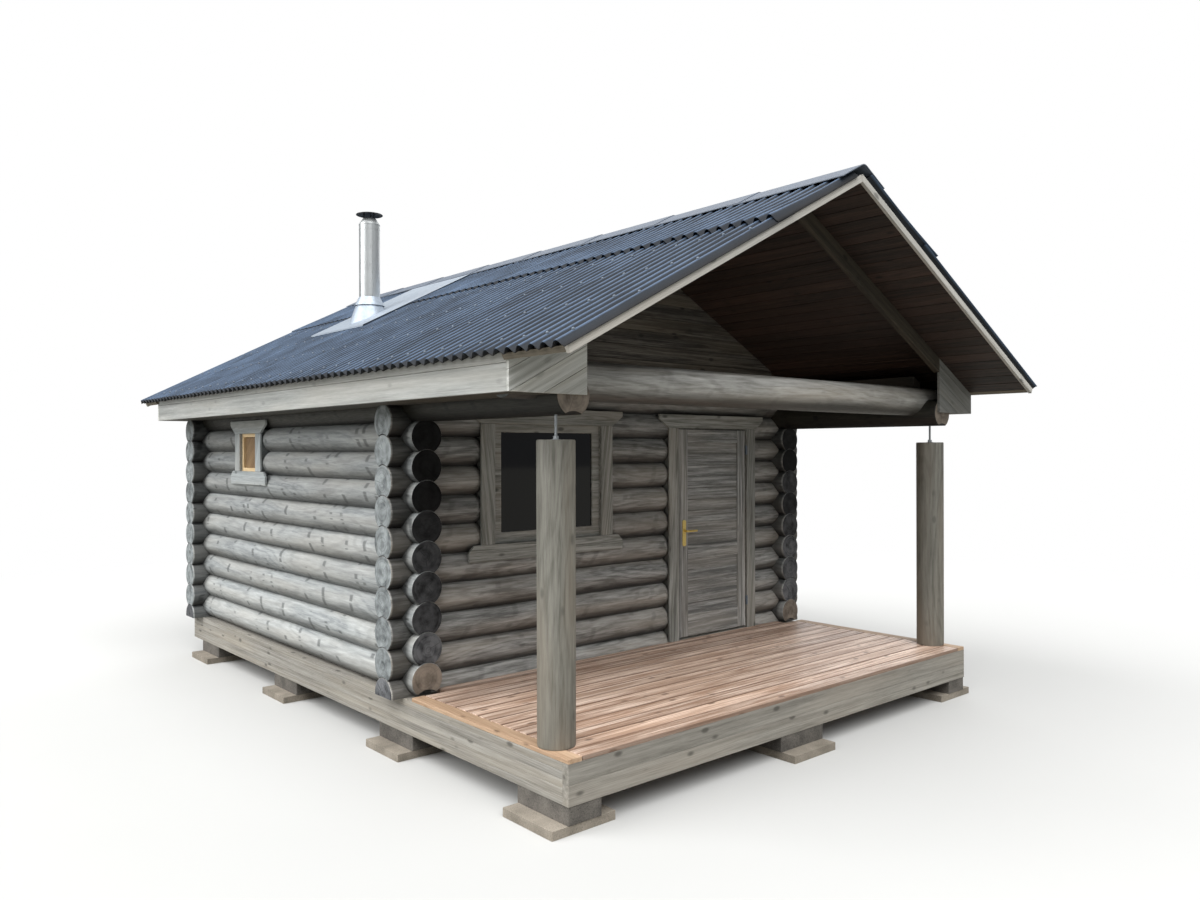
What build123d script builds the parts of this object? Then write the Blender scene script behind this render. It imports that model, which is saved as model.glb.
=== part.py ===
"""Log sauna with a covered porch: saddle-notched logs on a rim of planed beams, under a corrugated roof.

The origin is on the ground, midway between the side walls and under the middle of the roof's length.
+X points right and +Y from the porch to the back, as seen by someone who faces the door. Sizes are in mm.
"""

import os
from itertools import product
from math import cos, radians, sin, sqrt, tan

from build123d import *

os.makedirs("parts", exist_ok=True)

# Plan, measured between the axes of the wall logs
wall_width = 3885
wall_depth = 3944
log_stub = 219
porch_reach = 1739
porch_depth = 1829
tie_setback = 243
tie_reach = 310
front_verge = 515
back_verge = 370

# Logs
log_radius = 116
log_sides = 12
course = 201
wall_courses = 9
seat_gap = 0.3
first_log_flat = 3
log_end_gap = 3
log_end_taper = 62
log_taper_angle = 28

# Foundation, rim beams and deck
slab_size = 440
slab_thickness = 50
block_length = 450
block_width = 230
block_height = 100
block_inset = 4
third_block_setback = 1830
last_block_setback = 3618
middle_block_left = 1865
rim_height = 223
rim_width = 200
rim_reach = 133
cross_beam_width = 150
front_board_width = 50
joist_height = 150
joist_width = 50
joist_count = 7
board_thickness = 25
border_width = 95
deck_end_gap = 4

# Porch posts and their screw jacks
post_radius = 107
post_height = 1661
post_setback = 235
post_outset = 24
jack_rod_radius = 10
jack_grip = 60
jack_plate_size = 90
jack_plate_thickness = 6
jack_nut_width = 32
jack_nut_height = 18
jack_clearance = 0.3

# Roof
roof_pitch = 27.5
plate_rise = 286
plate_width = 100
rafter_depth = 100
rafter_width = 50
inner_rafters = 3
roof_board_thickness = 34
roof_board_reach = 470
sheet_height = 42
wave_pitch = 95
sheet_thickness = 5
sheet_reach = 497
sheet_top_reach = 60
barge_height = 49
barge_thickness = 25
barge_inset = 15
fascia_reach = 440
fascia_thickness = 25
fascia_drop = 5
soffit_thickness = 20
cap_board_thickness = 22
cap_inner_reach = 79
gable_board_thickness = 22
ridge_cap_length = 960
ridge_cap_overlap = 120
ridge_cap_wing = 225
ridge_cap_thickness = 5
ridge_cap_flat = 6

# Chimney
chimney_x = -1028
chimney_setback = 2385
pipe_radius = 95
pipe_wall = 3
pipe_fire_gap = 30
pipe_top = 4115
pipe_shoulder = 52
pipe_mouth_radius = 62
pipe_depth = 250
collar_top = 3432
collar_height = 80
collar_bottom_radius = 135
collar_thickness = 3
boot_top = 3362
boot_top_radius = 122
boot_spread = 0.36
boot_wall = 3
boot_ring_height = 12
flashing_low_x = -1345
flashing_high_x = -150
flashing_front = 1895
flashing_back = 2960
flashing_thickness = 2
rain_cap_radius = 122
rain_cap_rise = 24
rain_cap_lift = 35
rain_cap_thickness = 3
rain_cap_leg_radius = 5

# Trim boards round the openings
casing_width = 116
casing_thickness = 19
casing_face = 135
head_board_height = 115
head_board_overhang = 112
frame_side = 75
frame_cross = 32
frame_depth = 221

# Door
door_left = 2454
door_clear_width = 877
door_clear_height = 1787
leaf_top_gap = 10
leaf_left_gap = 8
leaf_right_gap = 15
leaf_bottom_gap = 22
leaf_thickness = 42
leaf_recess = 8
stop_width = 20
stop_gap = 5
threshold_height = 30
leaf_stile = 105
leaf_top_rail = 112
leaf_middle_rail_low = 672
leaf_middle_rail_high = 792
leaf_bottom_rail = 185
panel_recess = 9
hinge_radius = 7
hinge_pin_radius = 4
hinge_bore_clearance = 0.1
hinge_half_length = 40
hinge_gap = 0.5
hinge_leaf_width = 28
hinge_leaf_thickness = 2.5
hinge_heights = (250, 1600)
hinge_forward = 12
handle_plate_width = 40
handle_plate_height = 220
handle_plate_thickness = 6
handle_plate_corner = 10
handle_plate_low = 790
handle_offset = 57
lever_height = 918
lever_length = 118
lever_radius = 9
lever_neck = 42
lever_sides = 12
spindle_width = 7
spindle_hole_radius = 5.5
spindle_hole_sides = 8
spindle_clearance = 0.5

# Window
window_left = 588
window_clear_width = 998
window_low = 940
window_high = 1793
sash_width = 72
sash_bottom_rail = 78
sash_thickness = 45
sash_recess = 30
glass_thickness = 24
glass_setback = 12
glass_bite = 12
sill_board_height = 118
sill_board_overhang = 105
sill_corner = 45

# Small window in the left wall
small_setback = 2460
small_clear_width = 366
small_low = 1423
small_high = 1756
small_sash_width = 30
small_sash_thickness = 40
small_sash_recess = 25
small_board_thickness = 18

# Levels and places that follow from the sizes above
roof_length = front_verge + porch_reach + wall_depth + log_stub + back_verge
front_edge_y = -roof_length / 2
front_wall_y = front_edge_y + front_verge + porch_reach
back_wall_y = front_wall_y + wall_depth
cap_front_y = front_wall_y - porch_reach
cap_back_y = cap_front_y + cap_board_thickness
rim_front_y = front_wall_y - porch_depth
wall_x = wall_width / 2
rim_bottom = slab_thickness + block_height
rim_top = rim_bottom + rim_height
deck_top = rim_top + board_thickness
side_log_z = rim_top + log_radius - first_log_flat
cross_log_z = side_log_z - course / 2
eave_log_z = side_log_z + wall_courses * course
tie_log_y = cap_front_y + tie_setback
slope = tan(radians(roof_pitch))
upright = 1 / cos(radians(roof_pitch))
rafter_bottom_z = eave_log_z + plate_rise
sheathing_bottom_z = rafter_bottom_z + rafter_depth * upright
sheathing_top_z = sheathing_bottom_z + roof_board_thickness * upright


def from_left(x):
    """Turn a distance from the left wall's axis into the part's own x."""
    return x - wall_x


def from_front(y):
    """Turn a distance behind the front wall's axis into the part's own y."""
    return y + front_wall_y


def from_deck(z):
    """Turn a height over the deck into the part's own z."""
    return z + deck_top


def on_slope(level, x):
    """Height at x of a roof layer whose height over the wall axis is level."""
    return level + (wall_x - abs(x)) * slope


def brick(x_low, x_high, y_low, y_high, z_low, z_high, mode=Mode.ADD):
    """Place a plain square-edged block between two corners."""
    with Locations(((x_low + x_high) / 2, (y_low + y_high) / 2, (z_low + z_high) / 2)):
        Box(x_high - x_low, y_high - y_low, z_high - z_low, mode=mode)


def log_section(at, along_x, outward=1, radius=log_radius):
    """A log's outline, drawn with a few flats, on the plane across the log at a point of its axis."""
    along = (outward, 0, 0) if along_x else (0, outward, 0)
    with BuildSketch(Plane(origin=at, x_dir=(0, 0, 1), z_dir=along)) as section:
        RegularPolygon(radius, log_sides, major_radius=False, rotation=180 / log_sides)
    return section.sketch


def log_hole(at, along_x, length):
    """Cut the room that a log takes, with its seat gap, from a point of its axis over a length."""
    extrude(log_section(at, along_x, 1, log_radius + seat_gap), amount=length, mode=Mode.SUBTRACT)


def shaped_log(start, end, along_x, cove=True, saddles=(), taper_start=False, taper_end=False, cuts=()):
    """Shape one log: tapered ends, a cove that rides on the log below, saddles over the crossing logs.

    start and end are the ends of its axis, saddles the places along the log where lower logs cross it,
    and cuts the blocks, as low and high corners, that openings or beams take out of it.
    """
    x, y, z = start
    length = end[0] - x if along_x else end[1] - y
    first = log_end_taper if taper_start else 0
    last = log_end_taper if taper_end else 0
    with BuildPart() as log:
        body_start = (x + first, y, z) if along_x else (x, y + first, z)
        body_end = (end[0] - last, y, z) if along_x else (x, end[1] - last, z)
        extrude(log_section(body_start, along_x), amount=length - first - last)
        if taper_start:
            extrude(log_section(body_start, along_x, -1), amount=first, taper=log_taper_angle)
        if taper_end:
            extrude(log_section(body_end, along_x), amount=last, taper=log_taper_angle)
        if cove:
            log_hole((x, y, z - course), along_x, length)
        for place in saddles:
            if along_x:
                log_hole((place, y - 2 * log_radius, z - course / 2), False, 4 * log_radius)
            else:
                log_hole((x - 2 * log_radius, place, z - course / 2), True, 4 * log_radius)
        for low, high in cuts:
            brick(low[0], high[0], low[1], high[1], low[2], high[2], mode=Mode.SUBTRACT)
    return log.part


def flat_below(z):
    """A cut that takes off everything under the level z."""
    return ((-roof_length, -roof_length, z - 2 * log_radius), (roof_length, roof_length, z))


# Foundation: concrete blocks on paving slabs under the rim beams
block_rows = (
    rim_front_y + block_inset + block_length / 2,
    from_front(0),
    from_front(third_block_setback),
    from_front(last_block_setback),
)
side_block_x = wall_x + rim_reach - block_inset - block_width / 2
block_places = [(side * side_block_x, y) for y in block_rows for side in (-1, 1)]
middle_block_y = [
    rim_front_y + block_inset + block_width / 2,
    from_front(0),
    back_wall_y + rim_reach - block_inset - block_width / 2,
]
middle_places = [(from_left(middle_block_left), y) for y in middle_block_y]

with BuildPart() as paving_slabs:
    with Locations(*[(x, y, slab_thickness / 2) for x, y in block_places + middle_places]):
        Box(slab_size, slab_size, slab_thickness)

with BuildPart() as foundation_blocks:
    with Locations(*[(x, y, slab_thickness + block_height / 2) for x, y in block_places]):
        Box(block_width, block_length, block_height)
    with Locations(*[(x, y, slab_thickness + block_height / 2) for x, y in middle_places]):
        Box(block_length, block_width, block_height)

# Rim beams: two long side beams behind a front board, with cross beams under the front and back walls
rim_x = wall_x + rim_reach
rim_back_y = back_wall_y + rim_reach
side_rim_front_y = rim_front_y + front_board_width

with BuildPart() as side_rim_beams:
    brick(-rim_x, -rim_x + rim_width, side_rim_front_y, rim_back_y, rim_bottom, rim_top)
    brick(rim_x - rim_width, rim_x, side_rim_front_y, rim_back_y, rim_bottom, rim_top)

inner_rim_x = rim_x - rim_width
cross_beam_y = (from_front(-cross_beam_width / 2), rim_back_y - cross_beam_width)

with BuildPart() as cross_rim_beams:
    brick(-rim_x, rim_x, rim_front_y, side_rim_front_y, rim_bottom, rim_top)
    for y in cross_beam_y:
        brick(-inner_rim_x, inner_rim_x, y, y + cross_beam_width, rim_bottom, rim_top)

# Joists run from the porch front to the back, between the cross beams
joist_runs = (
    (side_rim_front_y, cross_beam_y[0]),
    (cross_beam_y[0] + cross_beam_width, cross_beam_y[1]),
)
joist_step = (2 * inner_rim_x) / (joist_count + 1)

with BuildPart() as floor_joists:
    for low, high in joist_runs:
        for i in range(joist_count):
            x = -inner_rim_x + joist_step * (i + 1)
            brick(x - joist_width / 2, x + joist_width / 2, low, high, rim_top - joist_height, rim_top)

# Floor inside, and the porch deck with a border board along each side
wall_face = log_radius + seat_gap

floor_x = wall_x - wall_face

with BuildPart() as floor_boards:
    brick(-floor_x, floor_x, from_front(wall_face), back_wall_y - wall_face, rim_top, deck_top)

deck_back_y = from_front(-wall_face)
border_inner_x = rim_x - border_width
border_back_y = from_front(-log_stub - deck_end_gap)
deck_x = border_inner_x - deck_end_gap

with BuildPart() as deck_boards:
    brick(-deck_x, deck_x, rim_front_y, deck_back_y, rim_top, deck_top)
    for side in (-1, 1):
        with Locations((side * wall_x, (border_back_y + front_wall_y) / 2, deck_top)):
            Box(2 * wall_face, front_wall_y - border_back_y, 2 * board_thickness, mode=Mode.SUBTRACT)

with BuildPart() as deck_border_boards:
    brick(-rim_x, -border_inner_x, rim_front_y, border_back_y, rim_top, deck_top)
    brick(border_inner_x, rim_x, rim_front_y, border_back_y, rim_top, deck_top)

# Openings through the walls, as the log ends meet them
frame_room = frame_side + log_end_gap
door_rough = (from_left(door_left - frame_room), from_left(door_left + door_clear_width + frame_room))
door_rough_top = from_deck(door_clear_height + frame_cross + seat_gap)
window_rough = (from_left(window_left - frame_room), from_left(window_left + window_clear_width + frame_room))
window_rough_low = from_deck(window_low - frame_cross)
window_rough_top = from_deck(window_high + frame_cross + seat_gap)
small_end_setback = small_setback + small_clear_width
small_rough = (from_front(small_setback - frame_room), from_front(small_end_setback + frame_room))
small_rough_low = from_deck(small_low - frame_cross)
small_rough_top = from_deck(small_high + frame_cross)

log_left_x = -wall_x - log_stub
log_right_x = wall_x + log_stub
log_front_y = front_wall_y - log_stub
log_back_y = back_wall_y + log_stub
corner_x = (-wall_x, wall_x)
corner_y = (front_wall_y, back_wall_y)


def spans(low, high, z, openings):
    """Split a log where its axis runs through an opening, as (start, end, tapered start, tapered end)."""
    pieces = []
    start = low
    tapered = False
    for open_low, open_high, bottom, top in openings:
        if bottom < z < top:
            pieces.append((start, open_low, tapered, True))
            start = open_high
            tapered = True
    pieces.append((start, high, tapered, False))
    return pieces


def cross_log(y, k, openings=(), cuts=()):
    """Logs of course k in a wall that runs along X, with the half log as course 0."""
    z = cross_log_z + k * course
    pieces = []
    for start, end, tapered_start, tapered_end in spans(log_left_x, log_right_x, z, openings):
        saddles = [x for x in corner_x if k > 0 and start < x < end]
        trims = [flat_below(rim_top)] if k == 0 else list(cuts)
        pieces.append(
            shaped_log((start, y, z), (end, y, z), True, k > 0, saddles, tapered_start, tapered_end, trims)
        )
    return pieces


def side_log(x, k, openings=(), cuts=()):
    """Logs of course k in a side wall: course 0 lies on the rim beam."""
    z = side_log_z + k * course
    pieces = []
    for start, end, tapered_start, tapered_end in spans(log_front_y, log_back_y, z, openings):
        saddles = [y for y in corner_y if start < y < end]
        trims = [flat_below(rim_top)] if k == 0 else list(cuts)
        pieces.append(
            shaped_log((x, start, z), (x, end, z), False, k > 0, saddles, tapered_start, tapered_end, trims)
        )
    return pieces


front_openings = (
    (*window_rough, window_rough_low, window_rough_top - log_radius),
    (*door_rough, 0, door_rough_top - log_radius / 2),
)
small_opening = ((*small_rough, small_rough_low, small_rough_top),)
wall_front = from_front(-2 * log_radius)
wall_back = from_front(2 * log_radius)
front_cuts = (
    ((window_rough[0], wall_front, window_rough_low), (window_rough[1], wall_back, window_rough_top)),
    ((door_rough[0], wall_front, 0), (door_rough[1], wall_back, door_rough_top)),
)
small_cut = (
    (
        (-wall_x - 2 * log_radius, small_rough[0], small_rough_low),
        (-wall_x + 2 * log_radius, small_rough[1], small_rough_top),
    ),
)
lintel_course = wall_courses
front_logs = [cross_log(front_wall_y, k, front_openings) for k in range(lintel_course)]
lintel_logs = cross_log(front_wall_y, lintel_course, (), front_cuts)
top_front_logs = cross_log(front_wall_y, lintel_course + 1)

with BuildPart() as front_logs_left:
    for pieces in front_logs:
        add(pieces[:-1])

with BuildPart() as front_logs_right:
    for pieces in front_logs:
        add(pieces[-1])

with BuildPart() as front_logs_over_door:
    add(lintel_logs)
    add(top_front_logs)

back_logs = [log for k in range(lintel_course + 2) for log in cross_log(back_wall_y, k)]

with BuildPart() as back_wall_logs:
    add(back_logs)

left_logs = [log for k in range(wall_courses) for log in side_log(-wall_x, k, small_opening, small_cut)]

with BuildPart() as left_wall_logs:
    add(left_logs)

right_logs = [log for k in range(wall_courses) for log in side_log(wall_x, k)]

with BuildPart() as right_wall_logs:
    add(right_logs)

# Eave logs reach out over the porch, with the rod of each screw jack let into them
tie_log_z = cross_log_z + (lintel_course + 1) * course
post_y = rim_front_y + post_setback
post_x = wall_x + post_outset
post_top = deck_top + post_height
jack_hole_radius = jack_rod_radius + jack_clearance
eave_log_list = [
    shaped_log((x, cap_back_y, eave_log_z), (x, log_back_y, eave_log_z), False, True, corner_y)
    for x in corner_x
]
rod_top = eave_log_z - (course - log_radius) + jack_grip

with BuildPart() as eave_logs:
    add(eave_log_list)
    for side in (-1, 1):
        with Locations((side * post_x, post_y, (post_top + rod_top + jack_clearance) / 2)):
            Cylinder(jack_hole_radius, rod_top + jack_clearance - post_top, mode=Mode.SUBTRACT)

tie_end_x = wall_x + tie_reach
tie_start = (-tie_end_x, tie_log_y, tie_log_z)
tie = shaped_log(tie_start, (tie_end_x, tie_log_y, tie_log_z), True, False, corner_x)

with BuildPart() as tie_log:
    add(tie)

# Wall plates on the eave logs, notched over the top cross logs, with a bevelled top under the rafters
with BuildPart() as wall_plates:
    for side in (-1, 1):
        with BuildSketch(Plane.XZ.offset(-cap_back_y)):
            inner = wall_x - plate_width / 2
            outer = wall_x + plate_width / 2
            Polygon(
                (side * inner, eave_log_z),
                (side * outer, eave_log_z),
                (side * outer, on_slope(rafter_bottom_z, outer)),
                (side * inner, on_slope(rafter_bottom_z, inner)),
                align=None,
            )
        extrude(amount=-(log_back_y - cap_back_y))
    for side in (-1, 1):
        log_hole((side * wall_x, cap_back_y, eave_log_z), False, log_back_y - cap_back_y)
    for y in (tie_log_y, *corner_y):
        log_hole((log_left_x, y, tie_log_z), True, log_right_x - log_left_x)

# Porch posts on the deck, each with a screw jack under the eave log
with BuildPart() as porch_posts:
    for side in (-1, 1):
        with Locations((side * post_x, post_y, deck_top + post_height / 2)):
            Cylinder(post_radius, post_height)

with BuildPart() as post_jacks:
    for side in (-1, 1):
        with Locations((side * post_x, post_y, post_top + jack_plate_thickness / 2)):
            Box(jack_plate_size, jack_plate_size, jack_plate_thickness)
        with BuildSketch(Plane.XY.offset(post_top + jack_plate_thickness)):
            with Locations((side * post_x, post_y)):
                RegularPolygon(jack_nut_width / 2, 6, major_radius=False)
        extrude(amount=jack_nut_height)
        with BuildSketch(Plane.XY.offset(post_top + jack_plate_thickness)):
            with Locations((side * post_x, post_y)):
                Circle(jack_rod_radius)
        extrude(amount=rod_top - post_top - jack_plate_thickness)

# Rafters: a pair flush with the front end caps, one at each gable and a few between
rafter_step = wall_depth / (inner_rafters + 1)
first_rafter_y = front_wall_y - rafter_width / 2
rafter_rows = [cap_front_y, *[first_rafter_y + rafter_step * i for i in range(inner_rafters + 2)]]
fascia_inner_x = wall_x + fascia_reach - fascia_thickness
ridge_gap = 0.15


def slope_layer(side, bottom, top, outer_x, y_low, y_high, square_end=False):
    """One roof slope's layer between two levels, plumb at the ridge and plumb or square at the eave."""
    end_lean = (top - bottom) * sin(radians(roof_pitch)) / upright if square_end else 0
    with BuildSketch(Plane.XZ.offset(-y_low)) as section:
        Polygon(
            (side * ridge_gap, on_slope(bottom, ridge_gap)),
            (side * (outer_x - end_lean), on_slope(bottom, outer_x - end_lean)),
            (side * outer_x, on_slope(top, outer_x)),
            (side * ridge_gap, on_slope(top, ridge_gap)),
            align=None,
        )
    extrude(section.sketch, amount=-(y_high - y_low))


with BuildPart() as rafters:
    for y in rafter_rows:
        for side in (-1, 1):
            slope_layer(side, rafter_bottom_z, sheathing_bottom_z, fascia_inner_x, y, y + rafter_width)
    for y in corner_y:
        log_hole((log_left_x, y, tie_log_z), True, log_right_x - log_left_x)

barge_front_y = front_edge_y + barge_inset
barge_back_y = -front_edge_y - barge_inset
fascia_x = wall_x + fascia_reach
roof_board_x = wall_x + roof_board_reach
chimney_y = from_front(chimney_setback)


def pipe_hole(radius):
    """Cut the chimney's way through a roof layer."""
    with Locations((chimney_x, chimney_y, pipe_top / 2)):
        Cylinder(radius, pipe_top, mode=Mode.SUBTRACT)


with BuildPart() as roof_boards:
    for side in (-1, 1):
        slope_layer(
            side,
            sheathing_bottom_z,
            sheathing_top_z,
            roof_board_x,
            barge_front_y + barge_thickness,
            barge_back_y - barge_thickness,
            True,
        )
    pipe_hole(pipe_radius + pipe_fire_gap)

barge_bottom_z = sheathing_top_z - barge_height

with BuildPart() as barge_boards:
    for side in (-1, 1):
        for y in (barge_front_y, barge_back_y - barge_thickness):
            slope_layer(side, barge_bottom_z, sheathing_top_z, roof_board_x, y, y + barge_thickness, True)


def wave_sheet(side, low_x, high_x):
    """The corrugated sheets of one slope as one piece, from low_x at the eave up to high_x.

    The left slope starts with a trough at the porch end and the right slope with a crest.
    """
    plane = Plane(
        origin=(side * low_x, front_edge_y, on_slope(sheathing_top_z, low_x) + seat_gap * upright),
        x_dir=(0, 1, 0),
        z_dir=(-side * cos(radians(roof_pitch)), 0, sin(radians(roof_pitch))),
    )
    waves = round(roof_length / wave_pitch)
    half_wave = roof_length / waves / 2
    rise = sheet_height - sheet_thickness
    first = int(side > 0)
    under = [(half_wave * i, -side * rise * ((i + first) % 2)) for i in range(2 * waves + 1)]
    over = [(x, y - side * sheet_thickness) for x, y in reversed(under)]
    with BuildSketch(plane) as section:
        Polygon(*under, *over, align=None)
    extrude(section.sketch, amount=(low_x - high_x) * upright)


crest_z = sheathing_top_z + (seat_gap + sheet_height) * upright

with BuildPart() as roof_sheets:
    for side in (-1, 1):
        wave_sheet(side, wall_x + sheet_reach, sheet_top_reach)
    pipe_hole(pipe_radius + pipe_fire_gap / 2)

# Flashing: a flat sheet on the crests that runs up under the ridge caps, and the boot round the pipe
flashing_z = crest_z + seat_gap * upright
flashing_top_z = flashing_z + flashing_thickness * upright
pipe_axis = Axis((chimney_x, chimney_y, 0), (0, 0, 1))

with BuildPart() as roof_flashing:
    with BuildSketch(Plane.XZ.offset(-from_front(flashing_front))):
        Polygon(
            (flashing_low_x, on_slope(flashing_z, flashing_low_x)),
            (flashing_high_x, on_slope(flashing_z, flashing_high_x)),
            (flashing_high_x, on_slope(flashing_top_z, flashing_high_x)),
            (flashing_low_x, on_slope(flashing_top_z, flashing_low_x)),
            align=None,
        )
    extrude(amount=-(flashing_back - flashing_front))
    pipe_hole(pipe_radius + seat_gap)

boot_foot_z = on_slope(flashing_top_z, chimney_x) - boot_top_radius - boot_wall
boot_foot_radius = boot_top_radius + boot_spread * (boot_top - boot_foot_z)
boot_ring_z = boot_top - boot_ring_height
boot_ring_radius = boot_top_radius + boot_spread * boot_ring_height

with BuildPart() as pipe_boot:
    with BuildSketch(Plane.XZ.offset(-chimney_y)):
        Polygon(
            (chimney_x + boot_foot_radius - boot_wall, boot_foot_z),
            (chimney_x + boot_foot_radius, boot_foot_z),
            (chimney_x + boot_top_radius, boot_top),
            (chimney_x + pipe_radius + seat_gap, boot_top),
            (chimney_x + pipe_radius + seat_gap, boot_ring_z),
            (chimney_x + boot_ring_radius - boot_wall, boot_ring_z),
            align=None,
        )
    revolve(axis=pipe_axis)
    split(
        bisect_by=Plane(
            origin=(chimney_x, chimney_y, on_slope(flashing_top_z, chimney_x)),
            z_dir=(-sin(radians(roof_pitch)), 0, cos(radians(roof_pitch))),
        ),
        keep=Keep.TOP,
    )

# Chimney: a steel pipe with a coned shoulder, a storm collar over the boot and a dished cap on legs
pipe_bottom = on_slope(sheathing_bottom_z, chimney_x) - pipe_depth

with BuildPart() as chimney_pipe:
    with BuildSketch(Plane.XZ.offset(-chimney_y)):
        Polygon(
            (chimney_x + pipe_radius - pipe_wall, pipe_bottom),
            (chimney_x + pipe_radius, pipe_bottom),
            (chimney_x + pipe_radius, pipe_top),
            (chimney_x + pipe_mouth_radius, pipe_top + pipe_shoulder),
            (chimney_x + pipe_mouth_radius - pipe_wall, pipe_top + pipe_shoulder),
            (chimney_x + pipe_radius - pipe_wall, pipe_top),
            align=None,
        )
    revolve(axis=pipe_axis)

with BuildPart() as storm_collar:
    with BuildSketch(Plane.XZ.offset(-chimney_y)):
        low = collar_top - collar_height
        Polygon(
            (chimney_x + pipe_radius + seat_gap, collar_top),
            (chimney_x + collar_bottom_radius, low),
            (chimney_x + collar_bottom_radius + collar_thickness, low),
            (chimney_x + pipe_radius + seat_gap + collar_thickness, collar_top),
            align=None,
        )
    revolve(axis=pipe_axis)

mouth_z = pipe_top + pipe_shoulder
rain_cap_z = mouth_z + rain_cap_lift
leg_ring_radius = pipe_mouth_radius - pipe_wall - rain_cap_leg_radius - seat_gap
leg_low_z = pipe_top
leg_high_z = rain_cap_z + rain_cap_rise / 2 + rain_cap_thickness

with BuildPart() as rain_cap:
    with BuildSketch(Plane.XZ.offset(-chimney_y)):
        Polygon(
            (chimney_x, rain_cap_z + rain_cap_rise),
            (chimney_x + rain_cap_radius, rain_cap_z),
            (chimney_x + rain_cap_radius, rain_cap_z + rain_cap_thickness),
            (chimney_x, rain_cap_z + rain_cap_rise + rain_cap_thickness),
            align=None,
        )
    revolve(axis=pipe_axis)
    with Locations((chimney_x, chimney_y, 0)):
        with PolarLocations(leg_ring_radius, 3, start_angle=-90):
            with Locations((0, 0, (leg_low_z + leg_high_z) / 2)):
                Cylinder(rain_cap_leg_radius, leg_high_z - leg_low_z)

# Ridge caps overlap like shingles: each one starts over the back end of the one before it
ridge_base_z = on_slope(flashing_top_z, 0) + seat_gap
cap_count = round((roof_length - ridge_cap_overlap) / (ridge_cap_length - ridge_cap_overlap))
cap_step = (roof_length - ridge_cap_overlap) / cap_count
cap_length = cap_step + ridge_cap_overlap
cap_lift = (ridge_cap_thickness * upright + seat_gap) / (1 - ridge_cap_overlap / cap_length)

with BuildPart() as ridge_caps:
    for i in range(cap_count):
        with BuildSketch(Plane.XZ.offset(-(front_edge_y + i * cap_step))):
            base = ridge_base_z + cap_lift
            flank = ridge_cap_flat
            Polygon(
                (-ridge_cap_wing, base - ridge_cap_wing * slope),
                (-flank, base - flank * slope),
                (flank, base - flank * slope),
                (ridge_cap_wing, base - ridge_cap_wing * slope),
                (ridge_cap_wing, base - ridge_cap_wing * slope + ridge_cap_thickness * upright),
                (flank, base - flank * slope + ridge_cap_thickness * upright),
                (-flank, base - flank * slope + ridge_cap_thickness * upright),
                (-ridge_cap_wing, base - ridge_cap_wing * slope + ridge_cap_thickness * upright),
                align=None,
            )
        extrude(amount=sqrt(cap_length**2 + cap_lift**2), dir=(0, cap_length, -cap_lift))

# Boxed eaves: fascia, soffit and the caps that close the box at both ends
fascia_bottom = eave_log_z + fascia_drop
cap_inner_x = wall_x - cap_inner_reach

with BuildPart() as fascia_boards:
    for side in (-1, 1):
        with BuildSketch(Plane.XZ.offset(-cap_back_y)):
            Polygon(
                (side * fascia_inner_x, fascia_bottom),
                (side * fascia_x, fascia_bottom),
                (side * fascia_x, on_slope(sheathing_bottom_z, fascia_x)),
                (side * fascia_inner_x, on_slope(sheathing_bottom_z, fascia_inner_x)),
                align=None,
            )
        extrude(amount=-(log_back_y - cap_back_y))

with BuildPart() as eave_soffits:
    for near, far in ((wall_x + wall_face, fascia_inner_x), (-fascia_inner_x, -wall_x - wall_face)):
        brick(near, far, cap_back_y, log_back_y, fascia_bottom, fascia_bottom + soffit_thickness)
    for y, z in product(corner_y, (tie_log_z, tie_log_z - course)):
        log_hole((log_left_x - seat_gap, y, z), True, log_right_x - log_left_x + 2 * seat_gap)
    log_hole((-tie_end_x - seat_gap, tie_log_y, tie_log_z), True, 2 * (tie_end_x + seat_gap))

# The front caps fit under the first rafters, with an ear that closes the end of the fascia
with BuildPart() as eave_end_caps:
    for y, inner_top_z in ((cap_front_y, rafter_bottom_z), (log_back_y, sheathing_bottom_z)):
        for side in (-1, 1):
            with BuildSketch(Plane.XZ.offset(-y)):
                Polygon(
                    (side * cap_inner_x, fascia_bottom),
                    (side * fascia_x, fascia_bottom),
                    (side * fascia_x, on_slope(sheathing_bottom_z, fascia_x)),
                    (side * fascia_inner_x, on_slope(sheathing_bottom_z, fascia_inner_x)),
                    (side * fascia_inner_x, on_slope(inner_top_z, fascia_inner_x)),
                    (side * cap_inner_x, on_slope(inner_top_z, cap_inner_x)),
                    align=None,
                )
            extrude(amount=-cap_board_thickness)

# Gables: boards on the outer face of the gable rafters, scribed to the top log
gable_half = wall_x - plate_width / 2 - seat_gap
gable_faces = (front_wall_y - rafter_width / 2 - gable_board_thickness, back_wall_y + rafter_width / 2)

with BuildPart() as gable_boards:
    for y in gable_faces:
        with BuildSketch(Plane.XZ.offset(-y)):
            Polygon(
                (-gable_half, tie_log_z),
                (gable_half, tie_log_z),
                (gable_half, on_slope(sheathing_bottom_z, gable_half)),
                (0, on_slope(sheathing_bottom_z, 0)),
                (-gable_half, on_slope(sheathing_bottom_z, gable_half)),
                align=None,
            )
        extrude(amount=-gable_board_thickness)
    for y in corner_y:
        log_hole((log_left_x, y, tie_log_z), True, log_right_x - log_left_x)

# Door frame: jambs with a stop, a head and a threshold
door_x = from_left(door_left)
door_end_x = door_x + door_clear_width
door_top = from_deck(door_clear_height)
frame_front_y = from_front(casing_thickness - casing_face)
frame_back_y = frame_front_y + frame_depth
leaf_front_y = from_front(leaf_recess - casing_face)
leaf_back_y = leaf_front_y + leaf_thickness
stop_y = leaf_back_y + stop_gap
sill_front_y = deck_back_y
sill_back_y = from_front(wall_face)

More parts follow.
